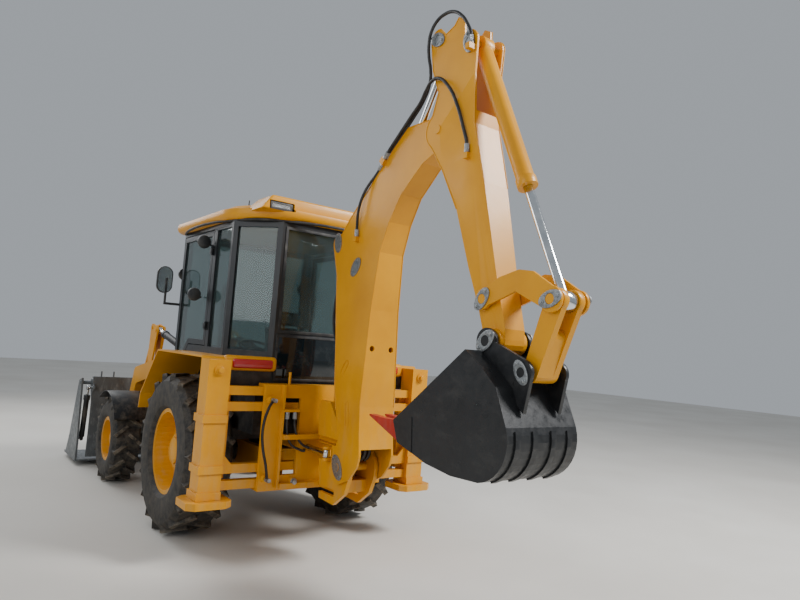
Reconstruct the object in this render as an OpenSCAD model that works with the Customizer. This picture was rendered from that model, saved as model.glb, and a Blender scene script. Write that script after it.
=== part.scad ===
/* [Wheels] */
// Distance between the axles
wheelbase = 2180; // [2080:10:2280]
// Radius of the rear tyres over their lugs
rear_tyre_r = 705; // [690:1:715]
// Width of the rear tyres
rear_tyre_w = 430; // [400:2:440]
// Distance of each rear tyre's middle from the centre line
rear_track = 860; // [850:1:875]
// Radius of the rear rims
rear_rim_r = 356; // [330:1:380]
// Radius of the front tyres over their lugs
front_tyre_r = 485; // [460:1:495]
// Width of the front tyres
front_tyre_w = 310; // [290:2:320]
// Distance of each front tyre's middle from the centre line
front_track = 905; // [900:1:915]
// Radius of the front rims
front_rim_r = 229; // [215:1:245]
// Number of lugs on each half of a rear tyre
rear_lugs = 18; // [14:1:22]
// Number of lugs on each half of a front tyre
front_lugs = 15; // [12:1:18]
// Height of the lugs over the tread
lug_h = 34; // [24:1:40]

/* [Chassis] */
// Distance of each side rail's inner face from the centre line
rail_x = 330; // [320:1:345]
// Thickness of the side rails
rail_t = 60; // [50:1:66]
// Height of the side rails' underside
rail_z = 610; // [605:1:625]
// Height of the side rails
rail_h = 200; // [180:1:205]
// Radius of the rear axle's tube
axle_r = 105; // [90:1:110]
// Half width of the hood
hood_x = 395; // [380:1:400]
// Height of the hood's top at the cab
hood_z = 1550; // [1520:1:1580]
// Wall of the hood
hood_wall = 14; // [8:1:18]
// Radius of the tow hitch's hole
tow_r = 25; // [20:1:28]

/* [Cab] */
// Half width of the cab over its side glass
cab_x = 775; // [760:1:785]
// Height of the cab's ring under the roof
cab_top_z = 2800; // [2750:5:2850]
// Thickness of the roof
roof_h = 190; // [150:2:210]
// Thickness of the cab's walls
cab_wall = 45; // [36:1:50]
// Thickness of the glass
glass_t = 6; // [4:1:8]
// Height of the wings' top
wing_z = 1600; // [1580:1:1620]
// Thickness of the wings' sheet
wing_t = 15; // [8:1:18]

/* [Loader] */
// Distance of each loader arm's inner face from the centre line
arm_x = 570; // [565:1:580]
// Thickness of the loader arms
arm_t = 95; // [80:1:98]
// Depth of the loader arms
arm_h = 210; // [180:2:220]
// Half width of the loader bucket
shovel_x = 1175; // [1150:1:1180]
// Height of the loader bucket's back
shovel_h = 1000; // [900:5:1020]
// Reach of the loader bucket from its back to the tips of its teeth
shovel_reach = 800; // [740:5:840]
// Thickness of the loader bucket's plates
shovel_t = 18; // [14:1:22]
// Number of teeth on the loader bucket
shovel_teeth = 8; // [6:1:10]

/* [Rear frame] */
// Half width over the outrigger legs' housings
leg_x = 1090; // [1080:1:1100]
// Width of the legs' housings
leg_w = 180; // [170:1:184]
// Wall of the legs' housings
leg_wall = 16; // [12:1:18]
// Height of the legs' housings
leg_top_z = 1580; // [1540:2:1600]
// Height of the outriggers' pads above the ground
pad_z = 443; // [420:1:460]
// Height of each of the four cross rails
cross_h = 71; // [60:1:74]
// Half width of the sideshift carriage
carriage_x = 600; // [570:2:620]
// Radius of the slew pin
slew_pin_r = 45; // [38:1:50]

/* [Backhoe] */
// Thickness of the boom's side plates
boom_t = 18; // [14:1:20]
// Half width of the dipper at its foot
dipper_x = 78; // [74:1:80]
// Thickness of the dipper's side plates
dipper_t = 18; // [14:1:20]
// Radius of the rams' barrels on the boom and the dipper
barrel_r = 58; // [50:1:62]
// Radius of those rams' rods
rod_r = 30; // [25:1:34]
// Radius of the main hinge pins
pin_r = 32; // [28:1:36]
// Clearance of a pin in its bore
fit = 0.3; // [0.2:0.05:0.4]
// Half width of the digging bucket
bucket_x = 300; // [280:2:320]
// Thickness of the digging bucket's plates
bucket_t = 18; // [14:1:20]
// Number of teeth on the digging bucket
bucket_teeth = 5; // [3:1:5]
// Length of the digging bucket's teeth
tooth_l = 270; // [240:5:280]

/* [Hidden] */
$fn = 48;
YELLOW = "#e0a020";
BLACK = "#26282a";
STEEL = "#c8ccd0";
GREY = "#5a5e62";
RUBBER = "#1c1c1d";
RED = "#c8281e";
GLASS = "#6a8088";
// Pivots of the loader, each as [distance ahead of the rear axle, height]
tower_pin = [1050, 1500];
// Rear face of the plate across the rails' front ends
nose_y = wheelbase + 350;
shovel_pin = [nose_y + 490, 340];
knee = [nose_y + 70, 1200];
lift_base = [1000, 720];
lift_rod_pin = tower_pin + 1050 * [cos(-15), sin(-15)];
lever_pin = [nose_y + 40, 1236];
lever_top = [nose_y - 138, 1778];
lever_link = [nose_y + 30, 1810];
tip_base = [1324, 1570];
shovel_ear = [nose_y + 515, 650];
link_bend = [nose_y + 312, 1288];
shovel_back_y = nose_y + 620;
jaw_pin = [shovel_back_y + 110, 1040];
jaw_ram_base = [shovel_back_y - 10, 980];
jaw_ram_end = [shovel_back_y + 70, 330];
shovel_back_x = shovel_x - 140;
jaw_ram_x = shovel_x - 86;
// Pivots of the backhoe
slew_y = -1350;
foot_pin = [-1520, 800];
boom_ram_base = [-1240, 1180];
boom_ram_end = [-1180, 2630];
dipper_ram_base = [-1500, 2400];
dipper_pin = [-2430, 3330];
dipper_ram_end = [-2385, 4000];
bucket_ram_base = [-2720, 3870];
side_link_pin = [-3000, 2110];
bucket_pin = [-3090, 1850];
link_pin = [-3540, 2100];
bucket_link_pin = [-3390, 1680];
link_boss_r = 75;
// Distance of the side links' inner faces from the centre line
link_x = 106;
// The frame's origin lies half way between the foremost tooth and the rearmost link
axle_y = -(shovel_back_y + shovel_reach + link_pin[0] - link_boss_r) / 2;
kingpin_x = front_track - 205;
// Half width of the cab's tub, between the rear tyres
tub_x = rear_track - rear_tyre_w / 2 - 45;
tip_plane = 478;
leg_mid_x = leg_x - leg_w / 2;
cross_y0 = -1000;
cross_y1 = -930;
// Height of the cab's floor, on the rails' crests over the rear axle
cab_z = rail_z + rail_h + 52;
// Inner half width and thickness of the kingpost's cheeks, and the boom's half width over them
cheek_x = 100;
cheek_t = 35;
boom_x = cheek_x + cheek_t + 8 + boom_t;
// Heights of the carriage's ears and of the slew rams, and the rams' distance from the centre line
ear_z = [560, 955];
ear_r = [64, 92];
slew_z = 880;
slew_arm = 170;
// Travel of each slew rod to either side, and the length of its barrel
slew_travel = 240;
slew_barrel = 2 * slew_travel + 80;
// Bend of the exhaust stack
exhaust = [-215, 1008, 1200];
// Hinge of the hood, and axis of the door's hinges beside the cab's wall
hood_hinge = [1130, hood_z - 40];
door_hinge = [cab_x + 16, -34];

// Extrudes an outline drawn as [y, z] from x0 to x1
module side(x0, x1) {
  translate([x0, 0, 0]) rotate([90, 0, 90]) linear_extrude(x1 - x0) children();
}
// A round bar along x through the point p = [y, z]
module bar(p, r, x0, x1) {
  translate([x0, p[0], p[1]]) rotate([0, 90, 0]) cylinder(r = r, h = x1 - x0);
}
// A box between two opposite corners
module box(a, b) {
  translate(a) cube(b - a);
}
module both() {
  children();
  mirror([1, 0, 0]) children();
}
// Sets a piece in the machine's frame, whose rear axle is at axle_y
module placed() {
  translate([0, axle_y, 0]) children();
}
function arc(c, r, a0, a1, n = 8) =
  [for (i = [0:n]) c + r * [cos(a0 + (a1 - a0) * i / n), sin(a0 + (a1 - a0) * i / n)]];
// A flat link between two round bosses, with the straight edges that touch both
module strap(p, rp, q, rq) {
  a = slope(p, q);
  b = acos((rp - rq) / span(p, q));
  translate(p) circle(rp);
  translate(q) circle(rq);
  polygon([p + rp * [cos(a + b), sin(a + b)], q + rq * [cos(a + b), sin(a + b)],
    q + rq * [cos(a - b), sin(a - b)], p + rp * [cos(a - b), sin(a - b)]]);
}
function span(p, q) = norm(q - p);
function slope(p, q) = atan2(q[1] - p[1], q[0] - p[0]);
// Moves a piece drawn along +y from the origin so that it points from p to q
module aimed(p, q, x) {
  translate([x, p[0], p[1]]) rotate([slope(p, q), 0, 0]) children();
}

// A ram's barrel, drawn along +y from its base eye, with its bore open at the mouth
module barrel(len, r, rod, eye_r, eye_w, base_r) {
  difference() {
    union() {
      rotate([0, 90, 0]) translate([0, 0, -eye_w / 2]) cylinder(r = eye_r, h = eye_w);
      rotate([-90, 0, 0]) translate([0, 0, eye_r * 0.6]) cylinder(r = r, h = len - eye_r * 0.6);
      rotate([-90, 0, 0]) translate([0, 0, len - 60]) cylinder(r = r + 7, h = 60);
    }
    rotate([0, 90, 0]) translate([0, 0, -eye_w]) cylinder(r = base_r + fit, h = 2 * eye_w);
    rotate([-90, 0, 0]) translate([0, 0, eye_r + 25]) cylinder(r = rod + 0.5, h = len);
  }
}
// A ram's rod, drawn along +y from its inner end at the height s to its eye at the height l
module rod(s, l, r, eye_r, eye_w) {
  rotate([-90, 0, 0]) translate([0, 0, s]) cylinder(r = r, h = l - s);
  translate([0, l, 0]) rotate([0, 90, 0]) translate([0, 0, -eye_w / 2]) cylinder(r = eye_r, h = eye_w);
}

// A lug over one half of the tread, slanted from the middle to the shoulder; its corners lie on the radius r
module lug(r, w) {
  half_l = 0.27 * w;
  base = 0.14 * w;
  crest = 0.11 * w;
  top = sqrt(r * r - pow(half_l * sin(40) + crest, 2));
  translate([w * 0.235, 0, 0]) rotate([0, 0, -40]) side(-half_l, half_l)
    polygon([[-base / 2, r - lug_h - 60], [-crest / 2, top], [crest / 2, top], [base / 2, r - lug_h - 60]]);
}
// A wheel about the x axis: tyre and dished rim
module wheel(r, w, rim, dish, lugs) {
  lip = 20;
  f = w * 0.37;
  tread = r - lug_h;
  color(RUBBER) {
    rotate([0, 90, 0]) rotate_extrude() polygon([
      [rim + 0.3, 0.3 - f], [rim + lip + 0.3, 0.3 - f], [rim + lip + 0.3, -f - 9], [rim + lip + 30, -w * 0.47],
      [(rim + tread) / 2, -w * 0.5], [tread - 50, -w * 0.48], [tread, -w * 0.38], [tread, w * 0.38],
      [tread - 50, w * 0.48], [(rim + tread) / 2, w * 0.5], [rim + lip + 30, w * 0.47],
      [rim + lip + 0.3, f + 9], [rim + lip + 0.3, f - 0.3], [rim + 0.3, f - 0.3]]);
    for (i = [0:lugs - 1]) {
      rotate([i * 360 / lugs, 0, 0]) lug(r, w);
      rotate([(i + 0.5) * 360 / lugs, 0, 0]) mirror([1, 0, 0]) lug(r, w);
    }
  }
  color(YELLOW) rotate([0, 90, 0]) rotate_extrude() polygon([
    [rim + lip, -f - 8], [rim + lip, -f], [rim, -f], [rim, f], [rim + lip, f], [rim + lip, f + 8],
    [rim - 14, f + 8], [rim - 14, dish + 20], [rim * 0.62, dish + 45], [rim * 0.40, dish + 45],
    [rim * 0.40, dish + 25], [rim * 0.58, dish + 25], [rim - 14, dish], [rim - 14, -f - 8]]);
}

// Chassis
module chassis_frame() {
  low = rear_tyre_r - axle_r - 42;
  color(YELLOW) placed() {
    both() {
      difference() {
        side(rail_x, rail_x + rail_t) polygon([[-860, rail_z], [-220, rail_z], [-150, low], [150, low],
          [220, rail_z], [nose_y, rail_z], [nose_y, rail_z + rail_h], [220, rail_z + rail_h], [150, cab_z],
          [-150, cab_z], [-220, rail_z + rail_h], [-860, rail_z + rail_h]]);
        bar([0, rear_tyre_r], axle_r + fit, rail_x - 1, rail_x + rail_t + 1);
      }
      tower();
    }
    for (y = [-420, 500]) box([-rail_x, y, rail_z + 40], [rail_x, y + 80, rail_z + 150]);
    for (y = [1300, wheelbase]) box([-rail_x, y, rail_z + 5], [rail_x, y + 80, rail_z + 50]);
    box([-rail_x - rail_t, nose_y, 460], [rail_x + rail_t, nose_y + 50, rail_z + rail_h - 5]);
    difference() {
      box([-70, nose_y + 45, 500], [70, nose_y + 130, 530]);
      translate([0, nose_y + 85, 490]) cylinder(r = tow_r, h = 50);
    }
    difference() {
      box([5 - hood_x, 1062, rail_z + rail_h], [hood_x - 5, 1080, hood_z - 110]);
      translate([exhaust[0], 1050, exhaust[2]]) rotate([-90, 0, 0]) cylinder(r = 32, h = 50);
    }
    both() {
      side(hood_x - 60, hood_x - 40) strap(hood_hinge, 20, [1090, hood_z - 150], 28);
      bar(hood_hinge, 10, hood_x - 60, hood_x - 2);
    }
  }
}
// The loader's tower: two cheeks with the arm's pin, and the lift ram's base pin
module tower() {
  inner = arm_x - 33;
  outer = arm_x + arm_t + 8;
  box([rail_x + rail_t, 900, rail_z], [outer + 25, 1060, rail_z + 34]);
  for (x = [inner, outer]) side(x, x + 25) {
    translate(tower_pin) circle(85);
    polygon([[900, rail_z + 20], [1060, rail_z + 20], tower_pin + [85, 0], tower_pin + [-85, 0]]);
  }
  bar(tower_pin, pin_r, inner - 12, outer + 40);
  bar(lift_base, 26, rail_x + rail_t, inner);
}
module rear_frame() {
  wide = leg_x - leg_w;
  color(YELLOW) placed() {
    both() {
      difference() {
        box([leg_x - leg_w, -1040, 500], [leg_x, -1040 + leg_w, leg_top_z]);
        box([leg_x - leg_w + leg_wall, -1040 + leg_wall, 490],
          [leg_x - leg_wall, -1040 + leg_w - leg_wall, leg_top_z - 12]);
      }
      box([wide - 60, cross_y1, 640], [wide, -860, 1320]);
      box([rail_x, cross_y1, rail_z], [rail_x + rail_t, -860, 830]);
      for (z = [500, 700, 1090]) difference() {
        box([wide - 3, -1054, z], [leg_x + 14, -1026 + leg_w, z + 60]);
        box([wide + 5, -1035, z - 1], [leg_x - 5, -1045 + leg_w, z + 61]);
      }
      translate([0, cross_y0 + 20, 0]) rotate([90, 0, 0]) linear_extrude(20)
        polygon([[wide + 1, 758], [wide - 90, 758], [wide + 1, 860]]);
      translate([leg_mid_x, -1040, 1500]) rotate([90, 0, 0]) cylinder(r = 42, h = 14);
    }
    for (z = [561, 688, 1178, 1305]) box([-wide, cross_y0, z], [wide, cross_y1, z + cross_h]);
  }
}
module rear_axle() {
  color(BLACK) placed() {
    bar([0, rear_tyre_r], axle_r, -tub_x - 40, tub_x + 40);
    difference() {
      translate([0, 0, rear_tyre_r]) sphere(r = 150);
      bar([0, rear_tyre_r], axle_r - 5, -300, 300);
    }
    both() {
      bar([0, rear_tyre_r], 150, tub_x - 100, tub_x + 40);
      bar([0, rear_tyre_r], 110, tub_x + 40, rear_track - 20.3);
    }
  }
}
module front_axle() {
  color(BLACK) placed() translate([0, wheelbase, 0]) {
    difference() {
      union() {
        side(80 - kingpin_x, kingpin_x - 80) polygon([[-70, 425], [70, 425], [55, 545], [-55, 545]]);
        both() translate([kingpin_x, 0, 405]) cylinder(r = 50, h = 160);
        both() box([kingpin_x - 100, -45, 430], [kingpin_x, 45, 540]);
      }
      both() translate([kingpin_x, 0, 400]) cylinder(r = 25 + fit, h = 170);
    }
    box([-150, -130, 545], [150, 130, 572]);
    box([-rail_x - rail_t, -110, 572], [rail_x + rail_t, 110, rail_z]);
    translate([0, -150, 400]) rotate([0, 90, 0]) difference() {
      translate([0, 0, -230]) cylinder(r = 42, h = 460);
      translate([0, 0, -240]) cylinder(r = 20.5, h = 480);
    }
    box([-60, -110, 380], [60, -70, 425]);
  }
}
module engine_block() {
  color(GREY) placed() {
    box([-250, 1180, rail_z + 50], [250, 2300, 1330]);
  }
}
module front_grille() {
  color(BLACK) placed() {
    difference() {
      box([-hood_x + 5, nose_y - 45, rail_z + rail_h + fit], [hood_x - 5, nose_y - 0.5, 1300]);
      box([-hood_x + 55, nose_y - 60, 890], [hood_x - 55, nose_y + 10, 1250]);
    }
    for (z = [920:42:1220]) box([-hood_x + 50, nose_y - 30, z], [hood_x - 50, nose_y - 8, z + 14]);
  }
  color(STEEL) placed() both() box([hood_x - 175, nose_y - 10, 826], [hood_x - 25, nose_y + 16, 880]);
}
module side_tanks() {
  color(BLACK) placed() {
    both() {
      side(rail_x + rail_t, 730) polygon([[780, 560], [880, 560], [880, 860], [780, 860]]);
      box([640, 740, 380], [900, 880, 400]);
      box([640, 780, 400], [660, 800, 560]);
    }
  }
}
module wings() {
  outline = [[-860, 1500], [-860, wing_z - 25], [-835, wing_z], [350, wing_z], [800, 1150], [830, 1000]];
  inner = [[-860 + wing_t, 1490], [-860 + wing_t, wing_z - wing_t - 20], [-840 + wing_t, wing_z - wing_t],
    [350 - 6, wing_z - wing_t],
    [800 - wing_t, 1150 - 6], [830 - wing_t, 990]];
  color(YELLOW) placed() both() {
    difference() {
      side(tub_x, 1080) polygon(concat(outline, [[830, 1000], [0, 900]]));
      side(tub_x - 10, 1100) polygon(concat(inner, [[0, 900], [-845, 900]]));
      box([tub_x - 10, -850, 880], [1100, 816, 1000]);
      box([tub_x - 10, -900, 880], [1100, -780, 1500]);
    }
    box([440, -860, 1500], [tub_x + 20, -860 + wing_t, wing_z]);
  }
}
module tail_lamps() {
  color(RED) placed() both() box([480, -878, 1520], [840, -860, 1590]);
}

// Cab
function cab_plan(i) = [[700 - i, 930 - i], [-700 + i, 930 - i], [-cab_x + i, 820 - i * 0.7],
  [-cab_x + i, -480 + i * 0.5], [-480 + i * 0.6, -855 + i], [480 - i * 0.6, -855 + i],
  [cab_x - i, -480 + i * 0.5], [cab_x - i, 820 - i * 0.7]];
module ring(i, t, z0, z1) {
  difference() {
    translate([0, 0, z0]) linear_extrude(z1 - z0) polygon(cab_plan(i));
    translate([0, 0, z0 - 1]) linear_extrude(z1 - z0 + 2) polygon(cab_plan(i + t));
  }
}
// The cab's openings, cut from its walls and filled by its glass
module window_cuts() {
  box([-660, 700, wing_z + 60], [660, 1000, cab_top_z - 60]);
  box([-440, -1000, 1840], [440, -700, cab_top_z - 60]);
  both() {
    box([560, -440, wing_z + 60], [900, -100, cab_top_z - 60]);
    rotate([0, 0, 0]) translate([630, -665, wing_z + 60]) rotate([0, 0, 51.8])
      box([-190, -150, 0], [190, 150, cab_top_z - 120 - wing_z]);
  }
}
door_outline = [[-18, 1670], [430, 1670], [700, 1400], [810, 1250], [810, cab_top_z - 50], [-18, cab_top_z - 50]];
module door_cut(g) {
  side(cab_x - 120, cab_x + 50) offset(delta = g) polygon(door_outline);
}
module cab_tub() {
  rear_y = -845;
  step_y = slew_barrel - 1040 + 45;
  color(BLACK) placed() {
    difference() {
      box([-tub_x, rear_y, cab_z], [tub_x, 900, wing_z]);
      box([-tub_x - 1, rear_y - 1, cab_z - 1], [tub_x + 1, step_y, 965]);
      box([35 - tub_x, step_y + 35, cab_z + 38], [tub_x - 35, 865, wing_z + 10]);
      box([35 - tub_x, rear_y + 35, 1000], [tub_x - 35, step_y + 36, wing_z + 10]);
      box([-440, -900, 1420], [440, -790, wing_z + 10]);
      both() box([tub_x - 100, 120, 940], [tub_x + 50, 830, wing_z + 10]);
    }
    both() box([tub_x, rear_y + 0.3, 1372], [1070, rear_y + 30, 1540]);
  }
}
// Ears and pin of a door's hinge on the cab's wall
module door_pins() {
  for (z = [1850, 2550]) {
    for (d = [-38, 28]) box([cab_x, -60, z + d], [door_hinge[0] + 12, -26, z + d + 10]);
    translate([door_hinge[0], door_hinge[1], z - 38]) cylinder(r = 7, h = 76);
  }
}
module cab_frame() {
  color(GREY) placed() both() door_pins();
  color(GREY) placed() difference() {
    union() {
      ring(0, cab_wall, wing_z, cab_top_z);
      both() box([tub_x, 830, 1000], [tub_x + 100, 880, wing_z]);
    }
    window_cuts();
    both() door_cut(8);
  }
}
module cab_glass() {
  color(GLASS, 0.5) placed() {
    intersection() {
      ring(18, glass_t, wing_z, cab_top_z);
      window_cuts();
    }
    box([-440, -825, 1420], [440, -825 + glass_t, wing_z]);
  }
}
module cab_roof() {
  color(YELLOW) placed() difference() {
    hull() {
      translate([0, 0, cab_top_z]) linear_extrude(roof_h * 0.6) polygon(cab_plan(-70));
      translate([0, 0, cab_top_z]) linear_extrude(roof_h) polygon(cab_plan(60));
    }
    translate([0, 0, cab_top_z - 1]) linear_extrude(roof_h - 40) polygon(cab_plan(100));
    both() box([430, -960, cab_top_z + 40], [640, -790, cab_top_z + 110]);
  }
}
module work_lamps() {
  color(STEEL) placed() both() box([450, -890, cab_top_z + 45], [620, -790, cab_top_z + 105]);
}
module seat() {
  color(BLACK) placed() {
    box([-200, -150, cab_z + 38], [200, 250, 1250]);
    box([-240, -220, 1250], [240, 290, 1380]);
    side(-230, 230) polygon([[-220, 1380], [-90, 1380], [-160, 2050], [-260, 2050]]);
  }
}
module steering_column() {
  color(BLACK) placed() {
    box([-90, 520, cab_z + 38], [90, 700, 1500]);
    translate([0, 600, 1500]) rotate([20, 0, 0]) {
      cylinder(r = 22, h = 180);
      translate([0, 0, 180]) rotate_extrude() translate([185, 0]) circle(r = 15, $fn = 16);
      translate([0, 0, 172]) linear_extrude(16) for (a = [90, 210, 330]) rotate(a) translate([0, -14]) square([186, 28]);
    }
  }
}
module mirrors() {
  color(BLACK) placed() both() {
    box([640, 930, 2050], [900, 950, 2075]);
    box([880, 930, 2050], [900, 950, 2330]);
    box([690, 930 + fit, 2380], [720, 960, 2400]);
    translate([0, 975, 0]) rotate([90, 0, 0]) linear_extrude(30) {
      strap([905, 2250], 80, [905, 2370], 80);
      translate([705, 2390]) circle(62);
    }
  }
}
module exhaust_stack() {
  color(BLACK) placed() {
    translate([exhaust[0], exhaust[1], exhaust[2] - 60]) cylinder(r = 38, h = 1190);
    translate(exhaust) rotate([-90, 0, 0]) cylinder(r = 30, h = 1180 - exhaust[1]);
  }
}
module hood() {
  front = nose_y - 45 - fit;
  outer = [[1100, 1000], [1100, hood_z], [1900, hood_z - 10], [front - 150, hood_z - 80], [front, 1380], [front, 1000]];
  color(YELLOW) placed() difference() {
    side(-hood_x, hood_x) polygon(outer);
    side(-hood_x + hood_wall, hood_x - hood_wall) polygon([[1000, 900], [1000, hood_z - hood_wall],
      [1900, hood_z - 10 - hood_wall], [front - 154, hood_z - 80 - hood_wall],
      [front - hood_wall, 1372 - hood_wall * 0.4], [front - hood_wall, 900]]);
    bar(hood_hinge, 10 + fit, -hood_x - 1, hood_x + 1);
  }
}
module door() {
  color(GREY) placed() difference() {
    union() {
      difference() {
        side(cab_x - 34, cab_x) polygon(door_outline);
        side(cab_x - 60, cab_x + 20) offset(delta = -50) polygon(door_outline);
      }
      for (z = [1850, 2550]) {
        translate([door_hinge[0], door_hinge[1], z - 26]) cylinder(r = 13, h = 52);
        box([cab_x, door_hinge[1], z - 26], [door_hinge[0] + 6, 10, z + 26]);
      }
    }
    translate([door_hinge[0], door_hinge[1], 1800]) cylinder(r = 7 + fit, h = 800);
  }
}
module door_glass() {
  color(GLASS, 0.5) placed() side(cab_x - 20, cab_x - 20 + glass_t) offset(delta = -50) polygon(door_outline);
}
module left_door() { mirror([1, 0, 0]) door(); }
module left_door_glass() { mirror([1, 0, 0]) door_glass(); }
module right_door() { door(); }
module right_door_glass() { door_glass(); }

// Front knuckle on the right: ears round the axle's end, spindle, steering arm and mudguard
module knuckle() {
  guard_r = front_tyre_r + 60;
  placed() translate([kingpin_x, wheelbase, 0]) {
    color(BLACK) {
      for (z = [370, 569]) translate([0, 0, z]) {
        cylinder(r = 55, h = 32);
        box([0, -50, 0], [60, 50, 32]);
      }
      translate([0, 0, 402]) cylinder(r = 25, h = 167);
      box([60, -60, 360], [85, 60, 610]);
      box([-15, -170, 370], [15, 0, 390]);
      bar([0, front_tyre_r], 60, 85, front_track - kingpin_x - 30.3);
      box([-10, -60, 601], [20, 60, 700]);
      box([-10, -40, 700], [20, 40, guard_r + front_tyre_r]);
      box([-10, -40, guard_r + front_tyre_r - 30], [60, 40, guard_r + front_tyre_r + 4]);
    }
    color(BLACK) difference() {
      side(35, front_track - kingpin_x + front_tyre_w / 2 + 20) difference() {
        translate([0, front_tyre_r]) circle(guard_r + 8, $fn = 60);
        translate([0, front_tyre_r]) circle(guard_r, $fn = 60);
        polygon([[-2000, -900], [2000, -900], [2000, 1500], [600, 1342], [0, front_tyre_r], [-900, 1005], [-2000, 1000]]);
      }
    }
  }
}
module right_knuckle() { knuckle(); }
module left_knuckle() { mirror([1, 0, 0]) knuckle(); }
module tie_rod() {
  color(STEEL) placed() translate([0, wheelbase - 150, 400]) {
    rotate([0, 90, 0]) translate([0, 0, -kingpin_x + 25]) cylinder(r = 20, h = 2 * kingpin_x - 50);
  }
}
module front_wheel() {
  wheel(front_tyre_r, front_tyre_w, front_rim_r, -30, front_lugs);
  color(YELLOW) rotate([0, 90, 0]) translate([0, 0, -30]) cylinder(r = 105, h = 80);
}
module front_right_wheel() { placed() translate([front_track, wheelbase, front_tyre_r]) front_wheel(); }
module front_left_wheel() { mirror([1, 0, 0]) front_right_wheel(); }
module rear_wheel() {
  wheel(rear_tyre_r, rear_tyre_w, rear_rim_r, -20, rear_lugs);
  color(YELLOW) rotate([0, 90, 0]) translate([0, 0, -20]) cylinder(r = 150, h = 100);
}
module rear_right_wheel() { placed() translate([rear_track, 0, rear_tyre_r]) rear_wheel(); }
module rear_left_wheel() { mirror([1, 0, 0]) rear_right_wheel(); }

// Loader
module loader_arms() {
  d = arm_h / 2;
  color(YELLOW) placed() difference() {
    union() {
      both() {
        side(arm_x, arm_x + arm_t) {
          strap(tower_pin, 80, knee, d);
          strap(knee, d - 12, shovel_pin, 72);
        }
        bar(lever_pin, 28, tip_plane - 58, arm_x + 1);
        bar(tip_base, 24, tip_plane - 30, arm_x + 1);
        bar(lift_rod_pin, 24, tip_plane + 27, arm_x + 1);
        side(arm_x - 20, arm_x + 10) strap(tip_base, 50, tip_base - [0, 90], 90);
        side(arm_x - 30, arm_x + 10) strap(lift_rod_pin, 50, lift_rod_pin + [0, 60], 70);
        bar(shovel_pin, 30, arm_x - 66, arm_x + arm_t + 40);
      }
      bar([nose_y + 152, 900], 45, -arm_x - 1, arm_x + 1);
    }
    both() bar(tower_pin, pin_r + fit, arm_x - 5, arm_x + arm_t + 5);
  }
}
// A lever's outline: its pin below, the ram's and the link's above
module lever_outline() {
  strap(lever_pin, 70, lever_top, 56);
  strap(lever_pin, 70, lever_link, 50);
  strap(lever_top, 50, lever_link, 50);
  polygon([lever_pin, lever_link, lever_top]);
}
module tip_levers() {
  color(YELLOW) placed() both() for (x = [tip_plane - 53, tip_plane + 31]) difference() {
    side(x, x + 22) lever_outline();
    bar(lever_pin, 28 + fit, x - 1, x + 23);
  }
  color(STEEL) placed() both() for (p = [lever_top, lever_link]) {
    bar(p, 22, tip_plane - 62, tip_plane - 27);
    bar(p, 22, tip_plane + 27, tip_plane + 62);
  }
}
module tip_links() {
  color(YELLOW) placed() both() difference() {
    side(tip_plane - 25, tip_plane + 25) {
      translate(lever_link) circle(36);
      translate(shovel_ear) circle(42);
      strap(lever_link, 20, link_bend, 20);
      strap(link_bend, 20, shovel_ear, 20);
    }
    bar(shovel_ear, 24 + fit, tip_plane - 40, tip_plane + 40);
  }
}
module tip_ram_barrels() {
  color(BLACK) placed() both() aimed(tip_base, lever_top, tip_plane)
    barrel(870, 42, 22, 44, 50, 24);
}
module tip_ram_rods() {
  color(STEEL) placed() both() aimed(tip_base, lever_top, tip_plane)
    rod(250, span(tip_base, lever_top), 22, 40, 50);
}
module lift_ram_barrels() {
  color(YELLOW) placed() both() aimed(lift_base, lift_rod_pin, tip_plane)
    barrel(1000, 45, 26, 46, 50, 26);
}
module lift_ram_rods() {
  color(STEEL) placed() both() aimed(lift_base, lift_rod_pin, tip_plane)
    rod(130, span(lift_base, lift_rod_pin), 26, 44, 50);
}
module shovel_back() {
  z0 = 100;
  top = z0 + shovel_h;
  color(GREY) placed() difference() {
    union() {
      box([-shovel_back_x, shovel_back_y, z0], [shovel_back_x, shovel_back_y + shovel_t, top]);
      box([-shovel_back_x, shovel_back_y, top], [shovel_back_x, shovel_back_y + 60, top + 25]);
      both() {
        for (x = [tip_plane - 58, tip_plane + 32]) side(x, x + 26) {
          strap(shovel_pin, 70, shovel_ear, 55);
          polygon([shovel_pin + [0, -70], [shovel_back_y + 5, 270], [shovel_back_y + 5, 740], shovel_ear + [0, 55]]);
        }
        side(arm_x + arm_t + 8, arm_x + arm_t + 34) {
          translate(shovel_pin) circle(70);
          polygon([shovel_pin + [0, -70], [shovel_back_y + 5, 270], [shovel_back_y + 5, 560], shovel_pin + [-40, 57]]);
        }
        side(shovel_back_x - 26, shovel_back_x) {
          translate(jaw_pin) circle(50);
          polygon([jaw_pin + [0, 50], [shovel_back_y + 5, 1090], [shovel_back_y + 5, 800], jaw_pin + [30, -40]]);
          translate(jaw_ram_base) circle(35);
          polygon([jaw_ram_base + [0, 35], jaw_ram_base + [0, -35], [shovel_back_y + 5, 900], [shovel_back_y + 5, 1060]]);
        }
        bar(shovel_ear, 24, tip_plane - 34, tip_plane + 34);
        for (x = [780, 930]) box([x, shovel_back_y + 15, top], [x + 14, shovel_back_y + 45, top + 95]);
        bar(jaw_pin, 24, shovel_back_x - 10, shovel_x - 6);
        bar(jaw_ram_base, 15, shovel_back_x - 10, jaw_ram_x - 17);
      }
    }
    both() bar(shovel_pin, 30 + fit, tip_plane - 80, arm_x + arm_t + 60);
  }
}
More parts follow.
